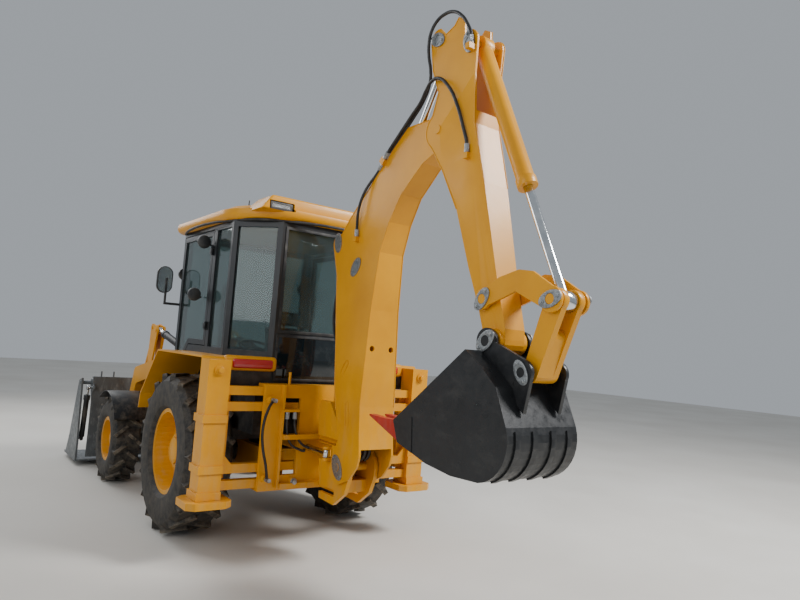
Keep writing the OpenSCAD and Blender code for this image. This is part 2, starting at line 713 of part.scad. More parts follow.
module shovel_jaw() {
  z0 = 60;
  front = shovel_back_y + shovel_reach;
  color(GREY) placed() {
    difference() {
      union() {
        both() side(shovel_x - 36, shovel_x - 12) polygon([[shovel_back_y - 40, z0], [front - 190, z0],
          [front - 330, z0 + 260], [jaw_pin[0] + 90, 1060], [jaw_pin[0] - 60, 1100], [jaw_pin[0] - 80, 900],
          [shovel_back_y - 40, 300]]);
        box([-shovel_x + 12, shovel_back_y - 40, z0], [shovel_x - 12, front - 130, z0 + shovel_t]);
        for (i = [0:shovel_teeth - 1])
          translate([-shovel_x + 60 + i * (2 * shovel_x - 120) / (shovel_teeth - 1), 0, 0])
            side(-30, 30) polygon([[front - 240, z0 + shovel_t], [front, z0 + 4], [front, z0 - 4],
              [front - 130, z0], [front - 240, z0]]);
        both() bar(jaw_ram_end, 15, jaw_ram_x - 17, shovel_x - 20);
      }
      both() bar(jaw_pin, 24 + fit, shovel_x - 60, shovel_x);
    }
  }
}
module jaw_ram_barrels() {
  color(BLACK) placed() both() aimed(jaw_ram_end, jaw_ram_base, jaw_ram_x)
    barrel(560, 32, 16, 32, 30, 15);
}
module jaw_ram_rods() {
  color(STEEL) placed() both() aimed(jaw_ram_end, jaw_ram_base, jaw_ram_x)
    rod(80, span(jaw_ram_end, jaw_ram_base), 16, 26, 30);
}

// Backhoe
module carriage() {
  color(YELLOW) placed() {
    difference() {
      union() {
        difference() {
          box([-carriage_x, -1040, 537], [carriage_x, -1004, 1400]);
          both() box([270, -1050, 660], [carriage_x - 150, -1000, 1290]);
        }
        box([-carriage_x, -1004, 1376.3], [carriage_x, -900, 1400]);
        box([-carriage_x, -925, 1330], [carriage_x, -900, 1376.3]);
        box([-carriage_x, -1004, 537], [carriage_x, -900, 560.7]);
        box([-carriage_x, -925, 560.7], [carriage_x, -900, 600]);
        for (i = [0, 1]) translate([0, 0, ear_z[i]]) linear_extrude(40) {
          translate([0, slew_y]) circle(ear_r[i]);
          translate([-ear_r[i], slew_y]) square([2 * ear_r[i], -1040 - slew_y + 5]);
          translate([-430, -1100]) square([860, 70]);
        }
        both() translate([slew_arm, -1040, slew_z]) rotate([-90, 0, 0]) cylinder(r = 50, h = slew_barrel);
        both() {
          for (p = [[-550, 1275], [-550, 640], [-300, 608]])
            translate([p[0], -1040, p[1]]) rotate([90, 0, 0]) cylinder(r = 30, h = 42);
          box([430, -1075, 560], [452, -1035, 1400]);
          box([300, -1090, 1180], [440, -1035, 1200]);
        }
        translate([-350, -960, 1390]) cylinder(r = 12, h = 110);
      }
      both() translate([slew_arm, -1050, slew_z]) rotate([-90, 0, 0]) cylinder(r = 26.5, h = slew_barrel - 10);
    }
    translate([0, slew_y, 530]) cylinder(r = slew_pin_r, h = ear_z[1] + 50 - 530);
  }
}
module slew_rod() {
  color(STEEL) placed() {
    translate([slew_arm, slew_y, slew_z]) rotate([-90, 0, 0]) cylinder(r = 26, h = -1040 + slew_travel + 45 - slew_y);
    translate([slew_arm, slew_y, slew_z - 28]) cylinder(r = 30, h = 56);
  }
}
module left_slew_rod() { mirror([1, 0, 0]) slew_rod(); }
module right_slew_rod() { slew_rod(); }
module leg() {
  g = leg_wall + fit;
  color(YELLOW) placed() {
    box([leg_x - leg_w + g, -1040 + g, pad_z + 57], [leg_x - g, -1040 + leg_w - g, leg_top_z - 60]);
    hull() {
      box([leg_mid_x - 180, -1060, pad_z], [leg_mid_x + 180, -840, pad_z + 55]);
      box([leg_mid_x - 120, -1110, pad_z], [leg_mid_x + 120, -790, pad_z + 55]);
    }
    box([leg_mid_x - 60, -1010, pad_z + 55], [leg_mid_x + 60, -890, pad_z + 57]);
  }
}
module left_leg() { mirror([1, 0, 0]) leg(); }
module right_leg() { leg(); }
module kingpost() {
  cheek = [[-1150, 1290], [-1105, 1230], [-1150, 960], [-1200, 720], [-1225, 500], [-1450, 490],
    [-1600, 600], [-1655, 735], [-1655, 840], [-1540, 1000], [-1340, 1240], [-1290, 1290]];
  band = 58;
  color(YELLOW) placed() difference() {
    union() {
      both() difference() {
        side(cheek_x, cheek_x + cheek_t) union() {
          polygon(cheek);
          translate(foot_pin) circle(140);
          translate(boom_ram_base) circle(85);
        }
        box([0, slew_y - 25, slew_z - band - 6], [200, -1000, slew_z + band + 6]);
      }
      translate([0, slew_y, ear_z[0] + 45]) cylinder(r = cheek_x + 5, h = ear_z[1] - ear_z[0] - 50);
      box([-cheek_x - 1, -1560, 605], [cheek_x + 1, slew_y - 20, 700]);
      both() for (z = [slew_z - band, slew_z + band - 25]) translate([0, slew_y, z]) linear_extrude(25) {
        translate([slew_arm, 0]) circle(30);
        translate([90, -28]) square([slew_arm - 90, 56]);
      }
      bar(foot_pin, pin_r, -boom_x - 13, boom_x + 13);
      bar(boom_ram_base, pin_r, -cheek_x - 1, cheek_x + 1);
    }
    for (z = ear_z) box([-200, slew_y - 105, z - 5], [200, -1000, z + 45]);
    translate([0, slew_y, 500]) cylinder(r = slew_pin_r + fit, h = 560);
  }
}

// Routes of the hoses, each point as [x, y, z]
hose_r = 12;
carriage_route = [[-550, -1082.5, 1275], [-550, -1098, 1275], [-592, -1118, 1225], [-625, -1118, 1120],
  [-632, -1115, 1000], [-612, -1112, 880], [-578, -1112, 760], [-550, -1098, 640], [-550, -1082.5, 640]];
drop_route = [[-92, -1734.2, 3220.9], [-92, -1653.5, 3146.3], [-114, -1575, 3060], [-132, -1525, 2960], [-140, -1500, 2850],
  [-134, -1490, 2750], [-132, -1490, 2650.3]];
loop_route = [[-82, -1304.7, 2310], [-82, -1262, 2310], [-82, -1190, 2215], [-82, -1158, 2090], [-82, -1155, 1970],
  [-82, -1185, 1860], [-82, -1262, 1735], [-82, -1339.7, 1735]];
// Points along a smooth curve through the points p
function smooth(p, n = 3) = concat([for (i = [0:len(p) - 2], j = [0:n - 1])
  let (a = p[max(i - 1, 0)], b = p[i], c = p[i + 1], d = p[min(i + 2, len(p) - 1)], t = j / n)
    b + 0.5 * t * (c - a + t * (2 * a - 5 * b + 4 * c - d + t * (3 * b - a - 3 * c + d)))], [p[len(p) - 1]]);
hose_sides = 8;
function ring_at(c, t, r) = let (a = cross(t, [1, 0, 0]), u = a / norm(a), w = cross(t, u) / norm(t))
  [for (i = [0:hose_sides - 1]) c + r * (cos(i * 360 / hose_sides) * u + sin(i * 360 / hose_sides) * w)];
module hose(p, r) {
  c = smooth(p);
  m = len(c);
  e = len(p) - 1;
  k = hose_sides;
  polyhedron([for (i = [0:m - 1])
      each ring_at(c[i], i < 2 ? p[1] - p[0] : i > m - 3 ? p[e] - p[e - 1] : c[i + 1] - c[i - 1], r)],
    concat([[for (i = [0:k - 1]) i]], [[for (i = [k - 1:-1:0]) (m - 1) * k + i]],
      [for (i = [0:m - 2], j = [0:k - 1]) each [[i * k + j, (i + 1) * k + j, (i + 1) * k + (j + 1) % k],
        [i * k + j, (i + 1) * k + (j + 1) % k, i * k + (j + 1) % k]]]));
}
module carriage_hose() {
  color(BLACK) placed() hose(carriage_route, hose_r);
}
module boom_hoses() {
  color(BLACK) placed() for (route = [drop_route, loop_route]) hose(route, hose_r);
}

// Boom: two plates that close in towards the dipper, and a rear plate between them
boom_outline = concat(
  arc(foot_pin, 130, 235, 345, 8),
  [[-1450, 930], [-1500, 1010], [-1430, 1240], [-1378, 1434], [-1318, 1800], [-1265, 2060], [-1215, 2350]],
  arc(boom_ram_end, 75, -20, 120, 8),
  [[-1330, 2830], [-1850, 3310], [-2200, 3590]],
  arc(dipper_pin, 120, 60, 250, 10),
  [[-2250, 3130], [-2020, 2930], [-1900, 2730], [-1815, 2500], [-1780, 2050], [-1772, 1300], [-1790, 1100],
    [-1812, 930], [-1790, 850], [-1700, 742]]);
boom_inner = [[-1050, 400], [-1050, 2700], [-1800, 3900], [-2700, 3900], [-2300, 3300], [-2230, 3150],
  [-2005, 2950], [-1882, 2745], [-1795, 2500], [-1758, 2050], [-1750, 1300], [-1768, 1100], [-1778, 980],
  [-1900, 980], [-1900, 400]];
// Half width of the boom at a height, less d
boom_bend_z = 1350;
boom_tip_z = 3450;
boom_tip_x = 76;
function boom_half(z) = boom_x + (boom_tip_x - boom_x) * (z - boom_bend_z) / (boom_tip_z - boom_bend_z);
module boom_width(d) {
  rotate([90, 0, 0]) translate([0, 0, 900]) linear_extrude(2200)
    polygon([[d - boom_x, 500], [boom_x - d, 500], [boom_x - d, boom_bend_z], [boom_tip_x - d, boom_tip_z],
      [d - boom_tip_x, boom_tip_z], [d - boom_x, boom_bend_z]]);
}
module boom() {
  color(YELLOW) placed() difference() {
    intersection() {
      side(-200, 200) polygon(boom_outline);
      boom_width(0);
    }
    intersection() {
      side(-200, 200) polygon(boom_inner);
      boom_width(boom_t);
    }
    bar(foot_pin, pin_r + fit, -200, 200);
    bar(dipper_pin, pin_r + fit, -200, 200);
    for (x = [-90, 90]) translate([x, -1700, 1750]) rotate([90, 0, 0]) cylinder(r = 22, h = 100);
  }
  color(YELLOW) placed() {
    intersection() {
      both() side(66, 200) polygon([[-1640, 3116], [-1850, 3310], [-2130, 3534], [-2142, 3519], [-1861, 3295], [-1652, 3100]]);
      boom_width(0);
    }
    both() side(66, 118) polygon([[-1790.2, 3234.4], [-1752.9, 3274.8], [-1716.1, 3240.9], [-1753.4, 3200.5]]);
    box([-150, -1510, 2610], [-98, -1470, 2650]);
    box([-112, -1345, 2290], [-66, -1305, 2330]);
    box([-136, -1380, 1715], [-66, -1340, 1755]);
  }
  color(STEEL) placed() {
    bar(dipper_ram_base, pin_r, -boom_half(dipper_ram_base[1]) - 8, boom_half(dipper_ram_base[1]) + 8);
    both() bar(boom_ram_end, pin_r, 47, boom_half(boom_ram_end[1]) + 8);
  }
}
module boom_ram_barrel() {
  color(YELLOW) placed() aimed(boom_ram_base, boom_ram_end, 0)
    barrel(1200, barrel_r, rod_r, 80, 100, pin_r);
}
module boom_ram_rod() {
  color(STEEL) placed() aimed(boom_ram_base, boom_ram_end, 0)
    rod(165, span(boom_ram_base, boom_ram_end), rod_r, 65, 90);
}
dipper_outline = concat(
  arc(dipper_ram_end, 75, -20, 110, 6),
  [[-2470, 4010], [-2560, 4040], [-2600, 4085], [-2660, 4050]],
  arc(bucket_ram_base, 80, 50, 180, 6),
  [[-2790, 3640], [-2810, 3290], [-2930, 2870], [-3080, 2250], [-3170, 1930]],
  arc(bucket_pin, 85, 170, 340, 8),
  [[-2930, 2060], [-2820, 2320], [-2670, 2730], [-2500, 3030]],
  arc(dipper_pin, 130, -60, 60, 6),
  [[-2420, 3600], [-2345, 3780]]);
function dipper_half(z) = dipper_x + 60 * (z - 1500) / 2800;
module dipper_width(d) {
  rotate([90, 0, 0]) translate([0, 0, 2100]) linear_extrude(1200)
    polygon([[d - dipper_half(1500), 1500], [dipper_half(1500) - d, 1500], [dipper_half(4300) - d, 4300],
      [d - dipper_half(4300), 4300]]);
}
module dipper() {
  color(YELLOW) placed() {
    difference() {
      intersection() {
        side(-200, 200) polygon(dipper_outline);
        dipper_width(0);
      }
      intersection() {
        side(-200, 200) polygon([[-2200, 3120], [-2560, 3120], [-2640, 3300], [-2640, 3380], [-2950, 3380],
          [-2950, 4200], [-2200, 4200]]);
        dipper_width(dipper_t);
      }
      bar(side_link_pin, 30, -200, 200);
      bar(bucket_pin, pin_r + fit, -200, 200);
    }
    difference() {
      bar(bucket_pin, 80, -118, 118);
      bar(bucket_pin, pin_r + fit, -200, 200);
    }
    bar(dipper_pin, pin_r, -125, 125);
    box([-190, -2790, 3790], [-118, -2750, 3830]);
    box([-146, -2790, 3050], [-103, -2750, 3090]);
    bar(side_link_pin, 30, -link_x - 30, link_x + 30);
    bar(bucket_ram_base, pin_r, -dipper_half(bucket_ram_base[1]) - 6, dipper_half(bucket_ram_base[1]) + 6);
    both() bar(dipper_ram_end, pin_r, 42, dipper_half(dipper_ram_end[1]) + 6);
  }
}
module dipper_ram_barrel() {
  color(YELLOW) placed() aimed(dipper_ram_base, dipper_ram_end, 0)
    barrel(950, barrel_r - 4, rod_r, 70, 90, pin_r);
}
module dipper_ram_rod() {
  color(STEEL) placed() aimed(dipper_ram_base, dipper_ram_end, 0)
    rod(885, span(dipper_ram_base, dipper_ram_end), rod_r, 58, 80);
}
module bucket_ram_barrel() {
  color(YELLOW) placed() aimed(bucket_ram_base, link_pin, 0)
    barrel(1165, barrel_r, rod_r, 70, 90, pin_r);
}
module bucket_ram_rod() {
  color(STEEL) placed() aimed(bucket_ram_base, link_pin, 0)
    rod(900, span(bucket_ram_base, link_pin), rod_r, 60, 80);
}
module side_links() {
  color(YELLOW) placed() difference() {
    union() {
      both() side(link_x, link_x + 22) union() {
        translate(side_link_pin) circle(65);
        translate(link_pin) circle(link_boss_r);
        polygon([side_link_pin + [0, 60], [-3130, 2240], [-3290, 2280], [-3400, 2265], link_pin + [-10, 74],
          link_pin + [10, -70], [-3270, 2150], [-3190, 2120], side_link_pin + [-50, -40]]);
      }
      both() bar(link_pin, 30, 44, link_x + 30);
    }
    bar(side_link_pin, 30 + fit, -200, 200);
  }
}
module tipping_link() {
  color(YELLOW) placed() difference() {
    union() {
      both() side(48, 92) union() {
        translate(link_pin) circle(70);
        strap(link_pin, 66, bucket_link_pin, 56);
      }
      side(-92, 92) strap(link_pin + 0.5 * (bucket_link_pin - link_pin), 50, bucket_link_pin, 56);
    }
    bar(link_pin, 30 + fit, -200, 200);
  }
}
bucket_shell = concat([[-2400, 1290], [-2460, 1150], [-2760, 1065], [-3000, 1035]],
  arc([-3190, 1290], 252, -100, -200, 10), [[-3330, 1590], [-3200, 1700]]);
bucket_hollow = concat([[-2385, 1320], [-2462, 1172], [-2762, 1085], [-3000, 1055]],
  arc([-3190, 1290], 234, -100, -200, 10), [[-3315, 1580], [-3180, 1690]]);
module digging_bucket() {
  color(BLACK) placed() difference() {
    union() {
      difference() {
        side(-bucket_x, bucket_x) polygon(concat(bucket_shell, [[-3060, 1790]]));
        side(-bucket_x + bucket_t, bucket_x - bucket_t) polygon(concat(bucket_hollow, [[-3060, 1790], [-2385, 1400]]));
        bar(bucket_pin, 100, -124, 124);
      }
      both() side(link_x + 32, link_x + 58) union() {
        translate(bucket_pin) circle(80);
        translate(bucket_link_pin) circle(75);
        polygon([bucket_pin + [70, -40], bucket_pin + [60, 50], bucket_link_pin + [-30, 68], bucket_link_pin + [-70, -30],
          [-3420, 1450], [-3300, 1560], [-3180, 1690]]);
      }
      for (x = [-240, -98, 58, 200]) side(x, x + 40) polygon(concat(
        arc([-3190, 1290], 262, -110, -195, 8), arc([-3190, 1290], 240, -195, -110, 8)));
      both() side(bucket_x - 1, bucket_x + 4) polygon([[-2400, 1290], [-2460, 1150], [-2620, 1105], [-2600, 1330]]);
      bar(bucket_pin, pin_r, -link_x - 66, link_x + 66);
      both() bar(bucket_link_pin, 28, 96, link_x + 66);
      for (i = [0:bucket_teeth - 1])
        translate([-bucket_x + 30 + i * (2 * bucket_x - 60) / (bucket_teeth - 1), 0, 0]) side(-28, 28)
          polygon([[-2470, 1150], [-2400, 1290], [-2300, 1285], [-2380 + tooth_l, 1292], [-2380 + tooth_l, 1282]]);
    }
  }
}

chassis_frame();
rear_frame();
rear_axle();
front_axle();
engine_block();
front_grille();
side_tanks();
wings();
tail_lamps();
cab_tub();
cab_frame();
cab_glass();
cab_roof();
work_lamps();
seat();
steering_column();
mirrors();
exhaust_stack();
hood();
left_door();
left_door_glass();
right_door();
right_door_glass();
left_knuckle();
right_knuckle();
tie_rod();
front_left_wheel();
front_right_wheel();
rear_left_wheel();
rear_right_wheel();
loader_arms();
tip_levers();
tip_links();
tip_ram_barrels();
tip_ram_rods();
lift_ram_barrels();
lift_ram_rods();
shovel_back();
shovel_jaw();
jaw_ram_barrels();
jaw_ram_rods();
carriage();
carriage_hose();
left_slew_rod();
right_slew_rod();
left_leg();
right_leg();
kingpost();
boom();
boom_hoses();
boom_ram_barrel();
boom_ram_rod();
dipper();
dipper_ram_barrel();
dipper_ram_rod();
digging_bucket();
side_links();
tipping_link();
bucket_ram_barrel();
bucket_ram_rod();
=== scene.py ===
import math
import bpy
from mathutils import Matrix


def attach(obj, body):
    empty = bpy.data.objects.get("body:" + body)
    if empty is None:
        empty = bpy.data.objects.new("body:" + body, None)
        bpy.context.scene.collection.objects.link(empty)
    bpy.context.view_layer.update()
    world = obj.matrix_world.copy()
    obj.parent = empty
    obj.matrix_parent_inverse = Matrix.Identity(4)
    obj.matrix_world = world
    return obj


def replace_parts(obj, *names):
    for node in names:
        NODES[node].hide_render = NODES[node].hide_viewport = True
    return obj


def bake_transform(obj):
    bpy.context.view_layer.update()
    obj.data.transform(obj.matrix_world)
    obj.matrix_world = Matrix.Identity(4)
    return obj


bl_info = {
    "name": "Backhoe loader finish",
    "version": (1, 0, 0),
    "blender": (4, 5, 0),
    "location": "3D View > Sidebar > Backhoe",
    "description": "Paints the backhoe loader's fixed frame and adds its hoses, plates, lamps and seat",
    "category": "Object",
}

import bmesh
import bpy
from mathutils import Matrix, Vector

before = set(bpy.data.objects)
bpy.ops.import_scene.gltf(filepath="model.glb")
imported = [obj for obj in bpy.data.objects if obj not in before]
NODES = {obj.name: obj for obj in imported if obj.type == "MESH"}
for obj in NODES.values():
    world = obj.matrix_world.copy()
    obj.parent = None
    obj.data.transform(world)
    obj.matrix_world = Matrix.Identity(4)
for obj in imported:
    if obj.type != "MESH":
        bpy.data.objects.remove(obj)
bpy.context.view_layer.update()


# Places and sizes

# The drawing's rear axle stands this far behind the frame's origin
AXLE_Y = -0.1675
# Half widths of the boom at its bend and at its tip, with their heights
BOOM_WIDE, BOOM_NARROW, BOOM_BEND_Z, BOOM_TIP_Z = 0.161, 0.076, 1.35, 3.45
# Half width of the dipper at its lower end, its growth over a rise, that end's height, and the rise
DIPPER_NARROW, DIPPER_GROWTH, DIPPER_FOOT_Z, DIPPER_RISE = 0.078, 0.060, 1.5, 2.8
# Half width of the cab, in the drawing's millimetres
CAB_X = 775
# The photograph's camera, behind the machine's left corner and looking slightly up: its place, its angles in
# degrees, and its lens on a 36 mm sensor
CAMERA_AT = (-2.907, -6.0615, 1.761)
CAMERA_YAW, CAMERA_PITCH, CAMERA_ROLL = 36.542, 4.387, 4.163
CAMERA_LENS = 28.89
# Soft lights: name, place, side and watts; all look at the middle of the machine
LIGHTS = [
    ("key", (5.5, -7.5, 8.5), 3.0, 1450),
    ("fill", (-8.5, -4.0, 5.0), 6.0, 300),
    ("rim", (-3.0, 8.0, 7.0), 6.0, 450),
]
LIGHTS_AIM = Vector((0, -0.8, 1.8))
# Lowest height of the dipper's weld beads, above the reach of the side links
DIPPER_WELD_FOOT = 2.70
# How far trim stands off the plate under it, and the thickness of the pins' keeper plates
OFF_FACE, KEEPER = 0.0002, 0.009


def at(x, y, z):
    """A point of the drawing, in millimetres from the rear axle's centre line, as a point of the frame."""
    return Vector((x / 1000, y / 1000 + AXLE_Y, z / 1000))


def boom_half(z):
    """Half width of the boom at a height in metres."""
    return BOOM_WIDE + (BOOM_NARROW - BOOM_WIDE) * (z - BOOM_BEND_Z) / (BOOM_TIP_Z - BOOM_BEND_Z)


def dipper_half(z):
    """Half width of the dipper at a height in metres."""
    return DIPPER_NARROW + DIPPER_GROWTH * (z - DIPPER_FOOT_Z) / DIPPER_RISE


def linear(code):
    """An sRGB hex colour as the linear colour that the shader takes."""
    parts = [int(code[i:i + 2], 16) / 255 for i in (1, 3, 5)]
    return tuple(c / 12.92 if c <= 0.04045 else ((c + 0.055) / 1.055) ** 2.4 for c in parts) + (1.0,)


# Materials

def add(tree, kind, inputs=(), **settings):
    """Adds a node with its settings, values and links."""
    node = tree.nodes.new(kind)
    for key, value in settings.items():
        setattr(node, key, value)
    for key, value in dict(inputs).items():
        if isinstance(value, bpy.types.NodeSocket):
            tree.links.new(value, node.inputs[key])
        else:
            node.inputs[key].default_value = value
    return node


def material(name, **shader):
    """A new material with one Principled shader, and its tree."""
    made = bpy.data.materials.new(name)
    made.use_nodes = True
    tree = made.node_tree
    tree.nodes.clear()
    bsdf = add(tree, "ShaderNodeBsdfPrincipled", {k.replace("_", " "): v for k, v in shader.items()})
    add(tree, "ShaderNodeOutputMaterial", {"Surface": bsdf.outputs[0]})
    return made, tree, bsdf


def grain(tree, scale, detail=3.0, rough=0.55, stretch=(1, 1, 1)):
    """Noise on the object's own coordinates, with scale in features a metre."""
    where = add(tree, "ShaderNodeTexCoord")
    place = add(tree, "ShaderNodeMapping", {"Vector": where.outputs["Object"], "Scale": stretch})
    return add(tree, "ShaderNodeTexNoise", {"Vector": place.outputs[0], "Scale": scale,
                                            "Detail": detail, "Roughness": rough}).outputs["Fac"]


def patches(tree, low, high, to, *noise):
    """Noise whose range from low to high is mapped onto another range and clamped."""
    return add(tree, "ShaderNodeMapRange", {"Value": grain(tree, *noise), "From Min": low, "From Max": high,
                                            "To Min": to[0], "To Max": to[1]}).outputs[0]


def finished(tree, bsdf, mix, rough, relief, metres, strength):
    """Links a shader's colour, as a factor between two linear colours, its roughness and its raised grain."""
    factor, under, over = mix
    colour = add(tree, "ShaderNodeMix", {0: factor, 6: under, 7: over}, data_type="RGBA")
    bump = add(tree, "ShaderNodeBump", {"Height": relief, "Distance": metres, "Strength": strength})
    for socket, value in (("Base Color", colour.outputs[2]), ("Roughness", rough), ("Normal", bump.outputs[0])):
        tree.links.new(value, bsdf.inputs[socket])


FULL = (0.0, 1.0)


def enamel(name, colour, shade, dust="#a8967a", gloss=0.36, dusty=0.42, low=0.3, high=1.6):
    """Sprayed enamel on welded plate: a soft gloss with orange peel, and road dust that thins with height."""
    made, tree, bsdf = material(name, IOR=1.45, Specular_IOR_Level=0.35, Coat_Weight=0.06, Coat_Roughness=0.12)
    coat = add(tree, "ShaderNodeMix", {0: patches(tree, 0.32, 0.70, FULL, 2.2, 4.0), 6: shade, 7: colour},
               data_type="RGBA")
    where = add(tree, "ShaderNodeTexCoord")
    height = add(tree, "ShaderNodeSeparateXYZ", {0: where.outputs["Object"]})
    fall = add(tree, "ShaderNodeMapRange", {"Value": height.outputs["Z"], "From Min": low, "From Max": high,
                                            "To Min": 1.0, "To Max": 0.05})
    streak = patches(tree, 0.45, 0.75, FULL, 14.0, 5.0, 0.65, (1, 1, 0.25))
    settling = add(tree, "ShaderNodeMath", {0: streak, 1: fall.outputs[0]}, operation="MULTIPLY")
    pale_share = add(tree, "ShaderNodeMath", {0: settling.outputs[0], 1: dusty}, operation="MULTIPLY").outputs[0]
    fine = add(tree, "ShaderNodeMath", {0: grain(tree, 45.0), 1: 0.12, 2: gloss - 0.06}, operation="MULTIPLY_ADD")
    rough = add(tree, "ShaderNodeMath", {0: pale_share, 1: 0.35, 2: fine.outputs[0]}, operation="MULTIPLY_ADD")
    # Orange peel is about 2 mm across; drawn at 4 mm so that it shows
    finished(tree, bsdf, (pale_share, coat.outputs[2], linear(dust)), rough.outputs[0], grain(tree, 250.0, 2.0),
             0.0006, 0.25)
    return made


def worn_plate(name, colour, shade, scuff, metal=0.0, gloss=0.5, share=0.5):
    """Painted or bare digging plate: long scuffs along the plate's run and dull patches of dried soil."""
    made, tree, bsdf = material(name, Metallic=metal)
    base = add(tree, "ShaderNodeMix", {0: patches(tree, 0.30, 0.72, FULL, 3.0, 5.0, 0.6), 6: linear(shade),
                                       7: linear(colour)}, data_type="RGBA")
    marks = patches(tree, 0.52, 0.74, (0.0, share), 30.0, 6.0, 0.7, (1, 0.15, 0.3))
    finished(tree, bsdf, (marks, base.outputs[2], linear(scuff)),
             patches(tree, 0.3, 0.7, (gloss - 0.12, gloss + 0.15), 22.0, 4.0), grain(tree, 120.0, 4.0),
             0.0012, 0.35)
    return made


def chrome(name):
    """Hard chrome on a ground ram rod: a mirror with faint rings from grinding and an oil film."""
    made, tree, bsdf = material(name, Metallic=1.0)
    finished(tree, bsdf, (patches(tree, 0.35, 0.7, FULL, 9.0), linear("#c9ced2"), linear("#e6e9ea")),
             patches(tree, 0.3, 0.7, (0.07, 0.20), 60.0), grain(tree, 900.0, 1.0), 0.0001, 0.2)
    return made


def zinc(name, colour="#8d9194", rough=0.42):
    """Zinc-plated, machined steel: a grey, slightly mottled metal with tool marks."""
    made, tree, bsdf = material(name, Metallic=0.85)
    finished(tree, bsdf, (patches(tree, 0.3, 0.7, FULL, 70.0, 4.0), linear(colour), linear("#a9adae")),
             patches(tree, 0.3, 0.7, (rough - 0.1, rough + 0.12), 40.0), grain(tree, 500.0, 2.0), 0.0002, 0.4)
    return made


def tyre_rubber(name, centre, radius):
    """Moulded carbon-black rubber: dull, mixed in random patches towards a pale dust colour, paler out on the
    lugs' crests and darker down in the grooves.
    """
    made, tree, bsdf = material(name, IOR=1.52, Specular_IOR_Level=0.35)
    where = add(tree, "ShaderNodeTexCoord")
    moved = add(tree, "ShaderNodeVectorMath", {0: where.outputs["Object"], 1: (0, centre.y, centre.z)},
                operation="SUBTRACT")
    flat = add(tree, "ShaderNodeVectorMath", {0: moved.outputs[0], 1: (0, 1, 1)}, operation="MULTIPLY")
    out = add(tree, "ShaderNodeVectorMath", {0: flat.outputs[0]}, operation="LENGTH")
    # Paler out towards the lugs' crests and darker down in the grooves, over the outer 40 mm of the radius
    paler_out_to_crest = add(tree, "ShaderNodeMapRange", {"Value": out.outputs["Value"], "From Min": radius - 0.040,
                                             "From Max": radius - 0.002, "To Min": 0.28, "To Max": 1.0})
    pale_share = add(tree, "ShaderNodeMath", {0: paler_out_to_crest.outputs[0], 1: patches(tree, 0.36, 0.72, FULL, 16.0, 6.0, 0.7)},
               operation="MULTIPLY").outputs[0]
    rough = add(tree, "ShaderNodeMapRange", {"Value": pale_share, "To Min": 0.62, "To Max": 0.92})
    finished(tree, bsdf, (pale_share, linear("#1c1c1d"), linear("#8b7f6d")), rough.outputs[0], grain(tree, 320.0, 4.0),
             0.0008, 0.45)
    return made


def plastic(name, colour, rough=0.5, pores=420.0):
    """Moulded ABS or polyethylene: an even colour with a fine moulded grain, dulled in patches by dust."""
    made, tree, bsdf = material(name, IOR=1.53)
    finished(tree, bsdf, (patches(tree, 0.42, 0.78, (0.0, 0.35), 12.0, 5.0), linear(colour), linear("#77726a")),
             patches(tree, 0.3, 0.7, (rough - 0.08, rough + 0.12), 26.0), grain(tree, pores, 2.0), 0.0004, 0.4)
    return made


def hose_rubber(name):
    """Wire-braided hydraulic hose: smooth black cover rubber with a slight sheen and a fine wrapped texture."""
    made, tree, bsdf = material(name, IOR=1.52)
    finished(tree, bsdf, (patches(tree, 0.4, 0.8, (0.0, 0.3), 18.0, 4.0), linear("#161617"), linear("#5d5850")),
             patches(tree, 0.3, 0.7, (0.38, 0.58), 30.0), grain(tree, 700.0, 1.0), 0.0003, 0.5)
    return made


def safety_glass(name):
    """Tempered, tinted safety glass: clear with a grey-green cast and a faint film of dust."""
    made, tree, bsdf = material(name, Base_Color=linear("#8ea3a2"), Transmission_Weight=0.92, IOR=1.45)
    tree.links.new(patches(tree, 0.45, 0.8, (0.02, 0.14), 6.0, 5.0, 0.65), bsdf.inputs["Roughness"])
    return made


def smoked_glass(name):
    """Dark tempered glass over the lower rear wall: nearly black, glossy, with a thin film of dust."""
    made, tree, bsdf = material(name, IOR=1.5)
    film = patches(tree, 0.5, 0.85, (0.0, 0.18), 7.0, 5.0, 0.65)
    rough = add(tree, "ShaderNodeMapRange", {"Value": film, "From Max": 0.18, "To Min": 0.05, "To Max": 0.22})
    tint = add(tree, "ShaderNodeMix", {0: film, 6: linear("#12191c"), 7: linear("#6f7672")}, data_type="RGBA")
    tree.links.new(tint.outputs[2], bsdf.inputs["Base Color"])
    tree.links.new(rough.outputs[0], bsdf.inputs["Roughness"])
    return made


def lamp_lens(name, dark, light, flute, through=0.0):
    """Moulded polycarbonate lens: glossy, with upright flutes on its inner face."""
    made, tree, bsdf = material(name, Transmission_Weight=through, IOR=1.58, Coat_Weight=0.5,
                                Coat_Roughness=0.04)
    where = add(tree, "ShaderNodeTexCoord")
    wave = add(tree, "ShaderNodeTexWave", {"Vector": where.outputs["Object"], "Scale": flute},
               bands_direction="X").outputs["Fac"]
    half = add(tree, "ShaderNodeMath", {0: wave, 1: 0.5}, operation="MULTIPLY")
    finished(tree, bsdf, (half.outputs[0], linear(dark), linear(light)),
             patches(tree, 0.3, 0.7, (0.10, 0.22), 40.0), wave, 0.002, 0.5)
    return made


def vinyl(name, colour, shade):
    """Embossed seat vinyl: soft low sheen over a pebbled grain of about 2 mm, creased a little darker."""
    made, tree, bsdf = material(name, IOR=1.5, Sheen_Weight=0.15)
    where = add(tree, "ShaderNodeTexCoord")
    cells = add(tree, "ShaderNodeTexVoronoi", {"Vector": where.outputs["Object"], "Scale": 450.0})
    finished(tree, bsdf, (patches(tree, 0.3, 0.7, FULL, 11.0, 4.0), linear(shade), linear(colour)),
             patches(tree, 0.3, 0.7, (0.45, 0.62), 30.0), cells.outputs["Distance"], 0.0008, 0.6)
    return made


